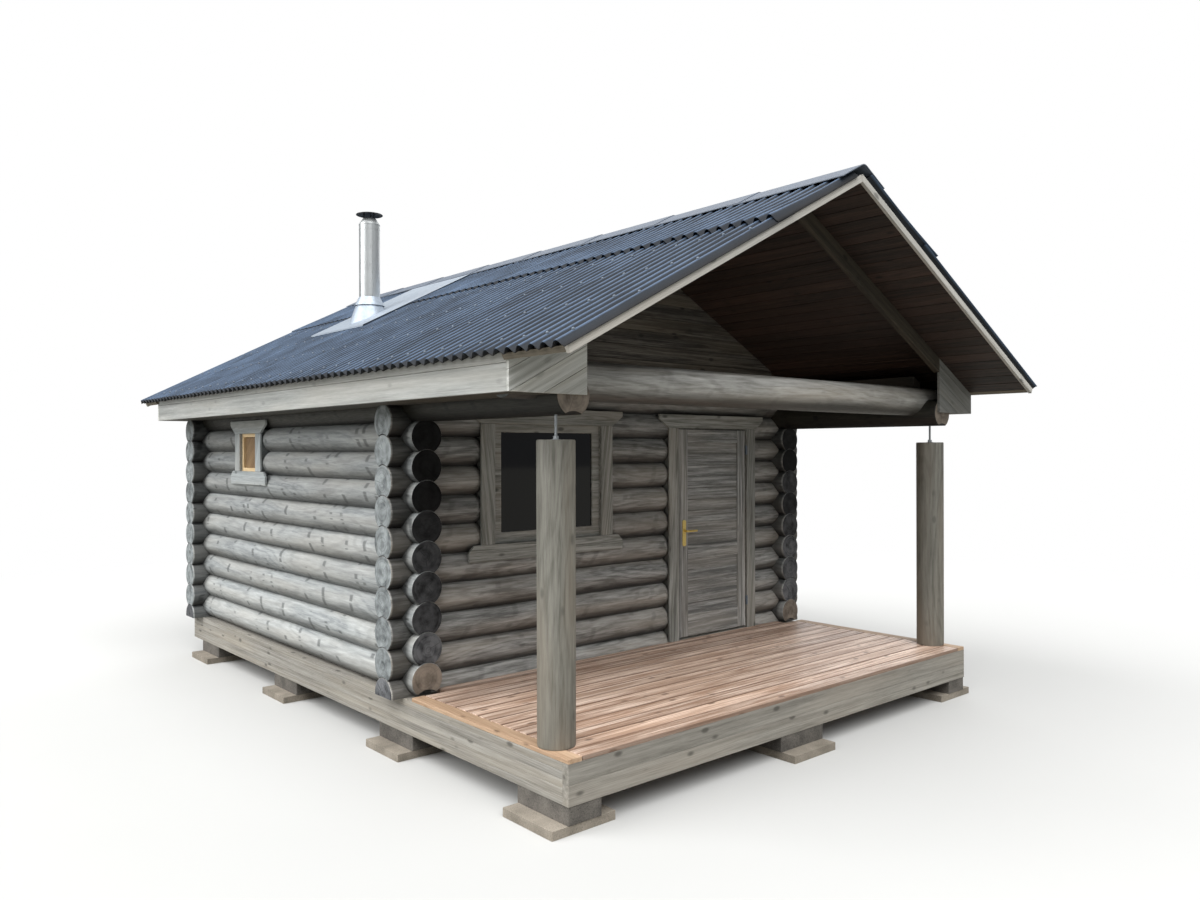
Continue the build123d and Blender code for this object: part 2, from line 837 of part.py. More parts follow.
with BuildPart() as door_jambs:
    brick(door_x - frame_side, door_x, frame_front_y, frame_back_y, rim_top, door_top)
    brick(door_x, door_x + stop_width, stop_y, frame_back_y, deck_top, door_top - stop_width)
    brick(door_end_x, door_end_x + frame_side, frame_front_y, frame_back_y, rim_top, door_top)
    brick(door_end_x - stop_width, door_end_x, stop_y, frame_back_y, deck_top, door_top - stop_width)

frame_x = (door_x - frame_side, door_end_x + frame_side)
threshold_x = (door_x + stop_width, door_end_x - stop_width)

with BuildPart() as door_head_and_threshold:
    brick(*frame_x, frame_front_y, frame_back_y, door_top, door_top + frame_cross)
    brick(door_x, door_end_x, stop_y, frame_back_y, door_top - stop_width, door_top)
    brick(door_x, door_end_x, sill_front_y, sill_back_y, rim_top, deck_top)
    brick(*threshold_x, stop_y, frame_back_y, deck_top, deck_top + threshold_height)

# Door leaf: stiles and rails round two sunk panels on each face
leaf_x = door_x + leaf_left_gap
leaf_end_x = door_end_x - leaf_right_gap
leaf_bottom = deck_top + leaf_bottom_gap
leaf_top = door_top - leaf_top_gap
panel_x = (leaf_x + leaf_stile, leaf_end_x - leaf_stile)
panel_fields = (
    (from_deck(leaf_bottom_rail), from_deck(leaf_middle_rail_low)),
    (from_deck(leaf_middle_rail_high), leaf_top - leaf_top_rail),
)
handle_x = leaf_x + handle_offset
handle_z = from_deck(lever_height)
hinge_x = (leaf_end_x + door_end_x) / 2
hinge_y = leaf_front_y - hinge_forward

with BuildPart() as door_leaf:
    brick(leaf_x, leaf_end_x, leaf_front_y, leaf_back_y, leaf_bottom, leaf_top)
    for low, high in panel_fields:
        brick(*panel_x, leaf_front_y, leaf_front_y + panel_recess, low, high, mode=Mode.SUBTRACT)
        brick(*panel_x, leaf_back_y - panel_recess, leaf_back_y, low, high, mode=Mode.SUBTRACT)
    with BuildSketch(Plane.XZ.offset(-leaf_front_y)):
        with Locations((handle_x, handle_z)):
            RegularPolygon(spindle_hole_radius, spindle_hole_sides, major_radius=False)
    extrude(amount=-leaf_thickness, mode=Mode.SUBTRACT)

handle_plate_z = from_deck(handle_plate_low)

with BuildPart() as door_handle_plates:
    for y in (leaf_front_y - handle_plate_thickness, leaf_back_y):
        with BuildSketch(Plane.XZ.offset(-y)):
            with Locations((handle_x, handle_plate_z + handle_plate_height / 2)):
                plate = Rectangle(handle_plate_width, handle_plate_height)
            chamfer(plate.vertices(), handle_plate_corner)
            with Locations((handle_x, handle_z)):
                RegularPolygon(spindle_hole_radius, spindle_hole_sides, False, mode=Mode.SUBTRACT)
        extrude(amount=-handle_plate_thickness)

lever_front_y = leaf_front_y - handle_plate_thickness - lever_neck
lever_back_y = leaf_back_y + handle_plate_thickness + lever_neck

with BuildPart() as door_lever:
    with BuildSketch(Plane.XZ.offset(-lever_front_y)):
        with Locations((handle_x, handle_z)):
            Rectangle(spindle_width, spindle_width)
    extrude(amount=-(lever_back_y - lever_front_y))
    for neck_y in (lever_front_y, lever_back_y - lever_neck + spindle_clearance):
        with BuildSketch(Plane.XZ.offset(-neck_y)):
            with Locations((handle_x, handle_z)):
                RegularPolygon(lever_radius, lever_sides, major_radius=False)
        extrude(amount=-(lever_neck - spindle_clearance))
    for grip_y in (lever_front_y + lever_radius, lever_back_y - lever_radius):
        with BuildSketch(Plane.YZ.offset(handle_x)):
            with Locations((grip_y, handle_z)):
                RegularPolygon(lever_radius, lever_sides, major_radius=False, rotation=180 / lever_sides)
        extrude(amount=lever_length)

# Hinges: a pin stands in the frame's barrel, and the leaf's barrel drops over it
fixed_leaf_x = door_end_x - seat_gap - hinge_leaf_thickness

with BuildPart() as hinge_pins:
    for height in hinge_heights:
        z = from_deck(height)
        with Locations((hinge_x, hinge_y, z - hinge_half_length / 2)):
            Cylinder(hinge_radius, hinge_half_length)
        with Locations((hinge_x, hinge_y, z + hinge_half_length / 2 - hinge_gap)):
            Cylinder(hinge_pin_radius, hinge_half_length)
        brick(
            fixed_leaf_x,
            fixed_leaf_x + hinge_leaf_thickness,
            hinge_y,
            hinge_y + hinge_forward + hinge_leaf_width,
            z - hinge_half_length,
            z,
        )

with BuildPart() as hinge_barrels:
    for height in hinge_heights:
        z = from_deck(height) + hinge_gap
        with Locations((hinge_x, hinge_y, z + hinge_half_length / 2)):
            Cylinder(hinge_radius, hinge_half_length)
        brick(
            leaf_end_x,
            leaf_end_x + hinge_leaf_thickness,
            hinge_y,
            hinge_y + hinge_forward + hinge_leaf_width,
            z,
            z + hinge_half_length,
        )
        with Locations((hinge_x, hinge_y, z + hinge_half_length / 2)):
            Cylinder(hinge_pin_radius + hinge_bore_clearance, hinge_half_length, mode=Mode.SUBTRACT)

# Window: frame in the wall, sash and pane
window_x = from_left(window_left)
window_end_x = window_x + window_clear_width
window_low_z = from_deck(window_low)
window_high_z = from_deck(window_high)
sash_front_y = from_front(sash_recess - casing_face)

with BuildPart() as window_frame:
    brick(
        window_x - frame_side,
        window_end_x + frame_side,
        frame_front_y,
        frame_back_y,
        window_low_z - frame_cross,
        window_high_z + frame_cross,
    )
    brick(
        window_x,
        window_end_x,
        frame_front_y,
        frame_back_y,
        window_low_z,
        window_high_z,
        mode=Mode.SUBTRACT,
    )

sash_low_z = window_low_z
sash_high_z = window_high_z
glass_x = (window_x + sash_width, window_end_x - sash_width)
glass_z = (sash_low_z + sash_bottom_rail, sash_high_z - sash_width + glass_bite)

with BuildPart() as window_sash:
    brick(window_x, window_end_x, sash_front_y, sash_front_y + sash_thickness, sash_low_z, sash_high_z)
    brick(*glass_x, sash_front_y, sash_front_y + sash_thickness, *glass_z, mode=Mode.SUBTRACT)

with BuildPart() as window_glass:
    brick(*glass_x, sash_front_y + glass_setback, sash_front_y + glass_setback + glass_thickness, *glass_z)

# Small window in the left wall: an unstained sash closed by a board
small_y = from_front(small_setback)
small_end_y = from_front(small_end_setback)
small_low_z = from_deck(small_low)
small_high_z = from_deck(small_high)
casing_front_x = -wall_x - casing_face
small_frame_x = (casing_front_x + casing_thickness, casing_front_x + casing_thickness + frame_depth)
small_sash_x = casing_front_x + small_sash_recess
small_board_x = small_sash_x + small_sash_thickness / 2
small_board_y = (small_y + small_sash_width, small_end_y - small_sash_width)
small_board_z = (small_low_z + small_sash_width, small_high_z - small_sash_width)

with BuildPart() as small_window_frame:
    brick(
        *small_frame_x,
        small_y - frame_side,
        small_end_y + frame_side,
        small_low_z - frame_cross,
        small_high_z + frame_cross,
    )
    brick(*small_frame_x, small_y, small_end_y, small_low_z, small_high_z, mode=Mode.SUBTRACT)

with BuildPart() as small_window_sash:
    brick(small_sash_x, small_sash_x + small_sash_thickness, small_y, small_end_y, small_low_z, small_high_z)
    brick(
        small_sash_x,
        small_sash_x + small_sash_thickness,
        *small_board_y,
        *small_board_z,
        mode=Mode.SUBTRACT,
    )

with BuildPart() as small_window_board:
    brick(small_board_x, small_board_x + small_board_thickness, *small_board_y, *small_board_z)

# Trim boards: casings beside the openings, head boards over them and sills under the windows
casing_front_y = from_front(-casing_face)
casing_back_y = casing_front_y + casing_thickness

with BuildPart() as casing_boards:
    for left, right, low, high in (
        (door_x, door_end_x, deck_top, door_top),
        (window_x, window_end_x, window_low_z, window_high_z),
    ):
        brick(left - casing_width, left, casing_front_y, casing_back_y, low, high)
        brick(right, right + casing_width, casing_front_y, casing_back_y, low, high)
    casing_x = (casing_front_x, casing_front_x + casing_thickness)
    for y in (small_y - casing_width, small_end_y):
        brick(*casing_x, y, y + casing_width, small_low_z, small_high_z)


def head_outline(left, right, low):
    """A head board whose lower corners are cut away in a curve."""
    wide = head_board_overhang
    step = casing_width
    outer_left = left - step - wide
    outer_right = right + step + wide
    top = low + head_board_height
    Polygon(
        (outer_left + wide, low),
        (outer_left, top - head_board_height / 3),
        (outer_left, top),
        (outer_right, top),
        (outer_right, top - head_board_height / 3),
        (outer_right - wide, low),
        align=None,
    )


with BuildPart() as head_boards:
    for left, right, low in ((door_x, door_end_x, door_top), (window_x, window_end_x, window_high_z)):
        with BuildSketch(Plane.XZ.offset(-casing_front_y)):
            head_outline(left, right, low)
        extrude(amount=-casing_thickness)
    with BuildSketch(Plane.YZ.offset(casing_front_x)):
        head_outline(small_y, small_end_y, small_high_z)
    extrude(amount=casing_thickness)


def sill_outline(left, right, high):
    """A sill board with its upper corners cut off."""
    outer_left = left - casing_width - sill_board_overhang
    outer_right = right + casing_width + sill_board_overhang
    low = high - sill_board_height
    Polygon(
        (outer_left, low),
        (outer_right, low),
        (outer_right, high - sill_corner),
        (outer_right - sill_corner, high),
        (outer_left + sill_corner, high),
        (outer_left, high - sill_corner),
        align=None,
    )


with BuildPart() as sill_boards:
    with BuildSketch(Plane.XZ.offset(-casing_front_y)):
        sill_outline(window_x, window_end_x, window_low_z)
    extrude(amount=-casing_thickness)
    with BuildSketch(Plane.YZ.offset(casing_front_x)):
        sill_outline(small_y, small_end_y, small_low_z)
    extrude(amount=casing_thickness)

# Each finished piece gets its name and its own file
pieces = {
    "paving_slabs": paving_slabs,
    "foundation_blocks": foundation_blocks,
    "side_rim_beams": side_rim_beams,
    "cross_rim_beams": cross_rim_beams,
    "floor_joists": floor_joists,
    "floor_boards": floor_boards,
    "deck_boards": deck_boards,
    "deck_border_boards": deck_border_boards,
    "left_wall_logs": left_wall_logs,
    "right_wall_logs": right_wall_logs,
    "back_wall_logs": back_wall_logs,
    "front_logs_left": front_logs_left,
    "front_logs_right": front_logs_right,
    "front_logs_over_door": front_logs_over_door,
    "eave_logs": eave_logs,
    "tie_log": tie_log,
    "wall_plates": wall_plates,
    "porch_posts": porch_posts,
    "post_jacks": post_jacks,
    "rafters": rafters,
    "roof_boards": roof_boards,
    "roof_sheets": roof_sheets,
    "ridge_caps": ridge_caps,
    "barge_boards": barge_boards,
    "fascia_boards": fascia_boards,
    "eave_soffits": eave_soffits,
    "eave_end_caps": eave_end_caps,
    "gable_boards": gable_boards,
    "roof_flashing": roof_flashing,
    "pipe_boot": pipe_boot,
    "chimney_pipe": chimney_pipe,
    "storm_collar": storm_collar,
    "rain_cap": rain_cap,
    "door_jambs": door_jambs,
    "door_head_and_threshold": door_head_and_threshold,
    "door_leaf": door_leaf,
    "door_handle_plates": door_handle_plates,
    "door_lever": door_lever,
    "hinge_pins": hinge_pins,
    "hinge_barrels": hinge_barrels,
    "window_frame": window_frame,
    "window_sash": window_sash,
    "window_glass": window_glass,
    "small_window_frame": small_window_frame,
    "small_window_sash": small_window_sash,
    "small_window_board": small_window_board,
    "casing_boards": casing_boards,
    "head_boards": head_boards,
    "sill_boards": sill_boards,
}

for name, piece in pieces.items():
    piece.part.label = name
    export_step(piece.part, f"parts/{name}.step")
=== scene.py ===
"""Log sauna with a covered porch, dressed over its CAD model: grey logs, a brown deck and a black roof."""

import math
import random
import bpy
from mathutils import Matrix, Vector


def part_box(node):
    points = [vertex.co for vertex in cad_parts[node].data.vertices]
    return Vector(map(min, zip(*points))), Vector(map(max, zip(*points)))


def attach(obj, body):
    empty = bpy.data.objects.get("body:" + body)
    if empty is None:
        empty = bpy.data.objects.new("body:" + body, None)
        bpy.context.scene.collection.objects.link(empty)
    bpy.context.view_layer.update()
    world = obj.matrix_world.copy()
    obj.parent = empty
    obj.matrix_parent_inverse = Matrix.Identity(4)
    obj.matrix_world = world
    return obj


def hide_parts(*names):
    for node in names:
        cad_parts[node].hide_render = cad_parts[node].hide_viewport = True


bl_info = {
    "name": "Log Sauna",
    "version": (1, 0, 0),
    "blender": (4, 5, 0),
    "location": "View3D > Sidebar > Sauna",
    "description": "Builds the pieces of a small log sauna over its packed model",
    "category": "Object",
}

from collections import defaultdict
from functools import partial

import bmesh
import bpy
from mathutils import Matrix, Vector

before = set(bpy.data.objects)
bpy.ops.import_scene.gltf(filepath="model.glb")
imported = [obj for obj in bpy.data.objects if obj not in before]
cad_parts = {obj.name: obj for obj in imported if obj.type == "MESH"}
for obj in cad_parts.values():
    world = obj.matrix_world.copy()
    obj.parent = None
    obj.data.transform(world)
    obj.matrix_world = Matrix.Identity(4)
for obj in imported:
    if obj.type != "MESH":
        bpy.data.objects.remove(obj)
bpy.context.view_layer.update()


def span(node, axis, gap_below=0.0, gap_above=0.0):
    """From where to where a CAD node reaches along x, y or z, with a gap added at each end."""
    low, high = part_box(node)
    i = "xyz".index(axis)
    return low[i] - gap_below, high[i] + gap_above


# Gaps between seated pieces, and between the sawn logs and the frames in their openings
SEAT_GAP = 0.0003
LOG_END_GAP = 0.003

# Places of the walls, read from the CAD model
LOG_INNER_X, LOG_OUTER_X = span("right_wall_logs", "x")
WALL_X = (LOG_INNER_X + LOG_OUTER_X) / 2
LOG_RADIUS = (LOG_OUTER_X - LOG_INNER_X) / 2
LOG_FRONT_Y, LOG_BACK_Y = span("right_wall_logs", "y")
STUB = span("back_wall_logs", "x")[1] - WALL_X
FRONT_Y, BACK_Y = LOG_FRONT_Y + STUB, LOG_BACK_Y - STUB
RIM_TOP = span("side_rim_beams", "z")[1]
DECK_TOP = span("deck_boards", "z")[1]
COURSE = 0.201
WALL_COURSES = 9
LOG_FLAT = 0.003
SIDE_LOG_Z = RIM_TOP + LOG_RADIUS - LOG_FLAT
CROSS_LOG_Z = SIDE_LOG_Z - COURSE / 2
EAVE_LOG_Z = SIDE_LOG_Z + WALL_COURSES * COURSE
TIE_LOG_Z = CROSS_LOG_Z + (WALL_COURSES + 1) * COURSE
TIE_LOG_Y = sum(span("tie_log", "y")) / 2
DOOR_X = span("door_jambs", "x", LOG_END_GAP, LOG_END_GAP)
DOOR_TOP = span("door_head_and_threshold", "z")[1] + SEAT_GAP
WINDOW_X = span("window_frame", "x", LOG_END_GAP, LOG_END_GAP)
WINDOW_Z = span("window_frame", "z", 0, SEAT_GAP)
SMALL_Y = span("small_window_frame", "y", LOG_END_GAP, LOG_END_GAP)
SMALL_Z = span("small_window_frame", "z")

# Places of the roof; a layer's level is its height over the wall's axis
PITCH = math.radians(27.5)
SLOPE = math.tan(PITCH)
UPRIGHT = 1 / math.cos(PITCH)
ROOF_FRONT_Y, ROOF_BACK_Y = span("roof_sheets", "y")
ROOF_LENGTH = ROOF_BACK_Y - ROOF_FRONT_Y
ROOF_BOARD_THICKNESS = 0.034
RAFTER_DEPTH = 0.1
SHEATHING_TOP = span("roof_boards", "z")[1] - (WALL_X - SEAT_GAP / 2) * SLOPE
SHEATHING_BOTTOM = SHEATHING_TOP - ROOF_BOARD_THICKNESS * UPRIGHT
RAFTER_BOTTOM = SHEATHING_BOTTOM - RAFTER_DEPTH * UPRIGHT
FASCIA_X = span("fascia_boards", "x")[1]
FASCIA_BOTTOM = span("fascia_boards", "z")[0]
CAP_FRONT_Y = span("eave_end_caps", "y")[0]
CAP_BACK_Y = span("eave_logs", "y")[0]
CAP_INNER_X = WALL_X - 0.079
RIDGE_WING = (span("ridge_caps", "x")[1] - span("ridge_caps", "x")[0]) / 2
PLATE_LOW, PLATE_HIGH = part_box("roof_flashing")

# Corrugated sheets: 95 mm waves, in two rows on each slope
WAVES = 71
WAVE_PITCH = ROOF_LENGTH / WAVES
SHEET_WAVES = 10
SHEET_RISE = 0.038
SHEET_THICKNESS = 0.003
SHEET_EAVE_X = WALL_X + 0.497
SHEET_RIDGE_X = 0.06
ROW_LAP_X = 0.8725
ROW_LAP = 0.15
ROW_LIFT = 0.0033
SIDE_LIFT = 0.0035

# Farther than any point of the building, for a cut that has no other side
FAR = 9

# The photograph's camera
CAMERA_PLACE = (-5.0899, -6.6690, 2.0025)
CAMERA_YAW = 0.718622
CAMERA_RISE = -1e-5
CAMERA_ROLL = -0.0022474
CAMERA_LENS = 27.6665


def tone(code):
    """Turn an sRGB hex colour into Blender's linear values; a colour setting is linear already."""
    if not isinstance(code, str):
        return (*code[:3], 1.0)
    parts = [int(code[i : i + 2], 16) / 255 for i in (1, 3, 5)]
    linear = [c / 12.92 if c <= 0.04045 else ((c + 0.055) / 1.055) ** 2.4 for c in parts]
    return (*linear, 1.0)


def add_node(tree, kind, inputs=None, **settings):
    """Add a node: settings are its properties, inputs its sockets, each given a value, a socket or a node."""
    node = tree.nodes.new(kind)
    for key, value in settings.items():
        setattr(node, key, value)
    for key, value in (inputs or {}).items():
        if isinstance(value, bpy.types.Node):
            value = next(socket for socket in value.outputs if socket.enabled)
        if isinstance(value, bpy.types.NodeSocket):
            tree.links.new(value, node.inputs[key])
        else:
            node.inputs[key].default_value = value
    return node


# Each look below takes node, which adds a node to the material's own tree, and gives back its shader

RING_GAP = 0.006


def pith_distance(node, place):
    """How far each point lies from the pith, across the grain."""
    flat = node("ShaderNodeVectorMath", {0: place, 1: (0, 1, 1)}, operation="MULTIPLY")
    return node("ShaderNodeVectorMath", {0: flat}, operation="LENGTH")


def growth_rings(node, distance, late_wood, **settings):
    """Rings 6 mm apart, wider than a real pine's so that they show; late_wood is where in each it darkens."""
    turns = node("ShaderNodeMath", {0: distance, 1: math.tau / RING_GAP}, operation="MULTIPLY")
    wave = node("ShaderNodeMath", {0: turns}, operation="SINE")
    return node("ShaderNodeMapRange", {0: wave, 1: late_wood, 2: 1.0}, **settings)


def drawn_out(node, place, shares, detail, roughness=0.5):
    """A cloudy pattern drawn out along the grain; shares are how many marks fit in a metre each way."""
    spot = node("ShaderNodeVectorMath", {0: place, 1: shares}, operation="MULTIPLY")
    return node(
        "ShaderNodeTexNoise", {"Vector": spot, "Scale": 1.0, "Detail": detail, "Roughness": roughness}
    )


def board_knots(node, place):
    """Knots 15 to 40 mm across, as a sawn board shows them."""
    spot = node("ShaderNodeVectorMath", {0: place, 1: (4.2, 9, 9)}, operation="MULTIPLY")
    cells = node("ShaderNodeTexVoronoi", {"Vector": spot, "Scale": 1.0})
    return node(
        "ShaderNodeMapRange", {0: cells, 1: 0.07, 2: 0.19, 3: 1.0, 4: 0.0}, interpolation_type="SMOOTHSTEP"
    )


def branch_whorls(node, place, slow):
    """Dark crescents across a trunk, where a ring of branches grew every half metre or so."""
    along, across, up = node("ShaderNodeSeparateXYZ", {0: place}).outputs
    around = node("ShaderNodeMath", {0: up, 1: across}, operation="ARCTAN2")
    twice = node("ShaderNodeMath", {0: around, 1: 2.0}, operation="MULTIPLY")
    bow = node("ShaderNodeMath", {0: twice}, operation="SINE")
    bowed = node("ShaderNodeMath", {0: bow, 1: 0.03, 2: along}, operation="MULTIPLY_ADD")
    bent = node("ShaderNodeMath", {0: slow, 1: 0.12, 2: bowed}, operation="MULTIPLY_ADD")
    line = node("ShaderNodeTexVoronoi", {"W": bent, "Scale": 2.8}, voronoi_dimensions="1D")
    thin = node(
        "ShaderNodeMapRange", {0: line, 1: 0.03, 2: 0.1, 3: 1.0, 4: 0.0}, interpolation_type="SMOOTHSTEP"
    )
    arc_place = node("ShaderNodeCombineXYZ", {0: around, 1: along})
    arcs = node("ShaderNodeTexNoise", {"Vector": arc_place, "Scale": 2.3, "Detail": 0.5})
    broken = node("ShaderNodeMapRange", {0: arcs, 1: 0.5, 2: 0.57})
    return node("ShaderNodeMath", {0: thin, 1: broken}, operation="MULTIPLY")


def wood(
    node, light, dark, warm, warm_share=0.35, whorls=False, contrast=1.0, rough=0.6, knot_share=0.85,
    under=0.0, stretch=1.3, half_width=0.0,
):
    """Softwood under a thin stain: growth rings, fibre streaks, knots, and patches of warmer wood."""
    place = node("ShaderNodeAttribute", attribute_name="grain").outputs["Vector"]
    tint = node("ShaderNodeAttribute", attribute_name="tint").outputs["Fac"]
    _, across, up = node("ShaderNodeSeparateXYZ", {0: place}).outputs
    # Slow change over more than a metre along the wood: thin stain in places, and the wandering pith
    slow = drawn_out(node, place, (0.7, 6, 6), 2.0)
    distance = pith_distance(node, place)
    pulled = node("ShaderNodeMath", {0: slow, 1: 0.035, 2: distance}, operation="MULTIPLY_ADD")
    rings = growth_rings(node, pulled, -0.2, interpolation_type="SMOOTHSTEP")
    # Streaks from 25 mm down to 1 mm wide and many times longer, and single fibres
    streaks = drawn_out(node, place, (stretch, 42, 42), 6.0, 0.68)
    fibre = drawn_out(node, place, (12, 260, 260), 2.0)
    knots = branch_whorls(node, place, slow) if whorls else board_knots(node, place)
    # Stain: light where it is thin, dark in the late wood, warmer in patches
    start = 0.38 - 1.25 * contrast
    marks = node("ShaderNodeMath", {0: streaks, 1: 2.3 * contrast, 2: start}, operation="MULTIPLY_ADD")
    marks = node("ShaderNodeMath", {0: fibre, 1: 0.5 * contrast, 2: marks}, operation="MULTIPLY_ADD")
    marks = node("ShaderNodeMath", {0: rings, 1: 0.22 * contrast, 2: marks}, operation="MULTIPLY_ADD")
    body = node("ShaderNodeMix", {0: marks, 6: tone(light), 7: tone(dark)}, data_type="RGBA")
    patches = node("ShaderNodeMapRange", {0: slow, 1: 0.42, 2: 0.68, 3: 0.0, 4: warm_share})
    warmed = node("ShaderNodeMix", {0: patches, 6: body, 7: tone(warm)}, data_type="RGBA")
    faint = node("ShaderNodeMath", {0: knots, 1: knot_share}, operation="MULTIPLY")
    deep = tone([(0.3 if whorls else 0.5) * c for c in tone(dark)[:3]])
    shade = node("ShaderNodeMix", {0: faint, 6: warmed, 7: deep}, data_type="RGBA")
    if half_width:
        # Water stands in the joints, so the last 13 mm of a board's edges weather darker
        out = node("ShaderNodeMath", {0: across}, operation="ABSOLUTE")
        edge = node(
            "ShaderNodeMapRange", {0: out, 1: half_width - 0.013, 2: half_width - 0.005, 3: 0.0, 4: 0.75}
        )
        shade = node("ShaderNodeMix", {0: edge, 6: shade, 7: deep}, data_type="RGBA")
    # The tint lifts or lowers the stain: partly random tone, partly painted shade; a tint under nought is
    # wood in a corner's notch or deep under the roof, painted darker as shade
    lift = node("ShaderNodeMapRange", {0: tint, 1: -1.0, 2: 1.0, 3: 0.2, 4: 1.2})
    if under:
        # Painted shade: the log is painted darker towards the seams with the logs below and above, where
        # shade falls
        seam = node(
            "ShaderNodeMapRange", {0: up, 1: -0.098, 2: -0.005, 3: 1.0 - under, 4: 1.0},
            interpolation_type="SMOOTHSTEP",
        )
        top = node("ShaderNodeMapRange", {0: up, 1: 0.088, 2: 0.108, 3: 1.0, 4: 1.0 - under * 0.6})
        painted_seam_shade = node("ShaderNodeMath", {0: seam, 1: top}, operation="MULTIPLY")
        lift = node("ShaderNodeMath", {0: painted_seam_shade, 1: lift}, operation="MULTIPLY")
    shade = node("ShaderNodeHueSaturation", {"Color": shade, "Value": lift})
    gloss = node("ShaderNodeMapRange", {0: fibre, 1: 0.3, 2: 0.7, 3: rough - 0.08, 4: rough + 0.1})
    height = node("ShaderNodeMath", {0: rings, 1: 0.35, 2: fibre}, operation="MULTIPLY_ADD")
    height = node("ShaderNodeMath", {0: knots, 1: 0.8, 2: height}, operation="MULTIPLY_ADD")
    bump = node("ShaderNodeBump", {"Height": height, "Strength": 0.35, "Distance": 0.0012})
    return node(
        "ShaderNodeBsdfPrincipled", {"Base Color": shade, "Roughness": gloss, "Normal": bump, "IOR": 1.48}
    )


def end_grain(node, light, dark, lifts=(0.8, 1.2), shine=0.5):
    """Sawn log end: rings round the pith, radial drying cracks and a darker, thirstier stain."""
    place = node("ShaderNodeAttribute", attribute_name="grain").outputs["Vector"]
    tint = node("ShaderNodeAttribute", attribute_name="tint").outputs["Fac"]
    along, across, up = node("ShaderNodeSeparateXYZ", {0: place}).outputs
    distance = pith_distance(node, place)
    clouds = node("ShaderNodeTexNoise", {"Vector": place, "Scale": 14.0, "Detail": 3.0})
    pulled = node("ShaderNodeMath", {0: clouds, 1: 0.03, 2: distance}, operation="MULTIPLY_ADD")
    rings = growth_rings(node, pulled, -0.4)
    # Drying cracks run out from the pith and close towards the bark
    around = node("ShaderNodeMath", {0: up, 1: across}, operation="ARCTAN2")
    spoke_place = node("ShaderNodeCombineXYZ", {0: around, 1: along})
    spokes = node("ShaderNodeTexNoise", {"Vector": spoke_place, "Scale": 3.2, "Detail": 6.0})
    cracks = node("ShaderNodeMapRange", {0: spokes, 1: 0.58, 2: 0.62})
    fade = node("ShaderNodeMapRange", {0: distance, 1: 0.01, 2: 0.1, 3: 0.9, 4: 0.25})
    cracks = node("ShaderNodeMath", {0: cracks, 1: fade}, operation="MULTIPLY")
    # Blotches of stain, and bands of good and bad years about 13 mm wide
    stain = node("ShaderNodeMath", {0: clouds, 1: 2.6, 2: -1.1}, operation="MULTIPLY_ADD")
    band_place = node("ShaderNodeCombineXYZ", {0: pulled, 1: along})
    years = node("ShaderNodeTexNoise", {"Vector": band_place, "Scale": 75.0, "Detail": 3.0})
    bands = node("ShaderNodeMapRange", {0: years, 1: 0.42, 2: 0.62})
    stain = node("ShaderNodeMath", {0: bands, 1: 0.28, 2: stain}, operation="MULTIPLY_ADD")
    stain = node("ShaderNodeMath", {0: rings, 1: 0.18, 2: stain}, operation="MULTIPLY_ADD")
    worn = node("ShaderNodeMath", {0: stain, 1: cracks}, operation="MAXIMUM")
    body = node("ShaderNodeMix", {0: worn, 6: tone(light), 7: tone(dark)}, data_type="RGBA")
    # The tint carries random tone and painted shade: ends high up and in the corners' notches are painted
    # darker
    lift = node("ShaderNodeMapRange", {0: tint, 1: 0.0, 2: 1.0, 3: lifts[0], 4: lifts[1]})
    shade = node("ShaderNodeHueSaturation", {"Color": body, "Value": lift})
    height = node("ShaderNodeMath", {0: cracks, 1: -1.5, 2: rings}, operation="MULTIPLY_ADD")
    bump = node("ShaderNodeBump", {"Height": height, "Strength": 0.4, "Distance": 0.001})
    return node(
        "ShaderNodeBsdfPrincipled",
        {"Base Color": shade, "Roughness": 0.72, "Normal": bump, "Specular IOR Level": shine},
    )


def concrete(node, light, dark, pore=0.006):
    """Cast concrete: grey paste, paler sand patches and pores a few millimetres wide."""
    place = node("ShaderNodeTexCoord").outputs["Object"]
    clouds = node("ShaderNodeTexNoise", {"Vector": place, "Scale": 7.0, "Detail": 5.0})
    grit = node("ShaderNodeTexNoise", {"Vector": place, "Scale": 160.0, "Detail": 3.0})
    cells = node("ShaderNodeTexVoronoi", {"Vector": place, "Scale": 0.35 / pore})
    pores = node("ShaderNodeMapRange", {0: cells, 1: 0.1, 2: 0.28, 3: 1.0, 4: 0.0})
    mixed = node("ShaderNodeMath", {0: grit, 1: 0.7, 2: clouds}, operation="MULTIPLY_ADD")
    share = node("ShaderNodeMapRange", {0: mixed, 1: 0.6, 2: 1.1})
    body = node("ShaderNodeMix", {0: share, 6: tone(light), 7: tone(dark)}, data_type="RGBA")
    hole = node("ShaderNodeMath", {0: pores, 1: 0.5}, operation="MULTIPLY")
    shade = node("ShaderNodeMix", {0: hole, 6: body, 7: tone("#3a3733")}, data_type="RGBA")
    height = node("ShaderNodeMath", {0: pores, 1: -1.2, 2: grit}, operation="MULTIPLY_ADD")
    bump = node("ShaderNodeBump", {"Height": height, "Strength": 0.7, "Distance": 0.002})
    return node("ShaderNodeBsdfPrincipled", {"Base Color": shade, "Roughness": 0.88, "Normal": bump})


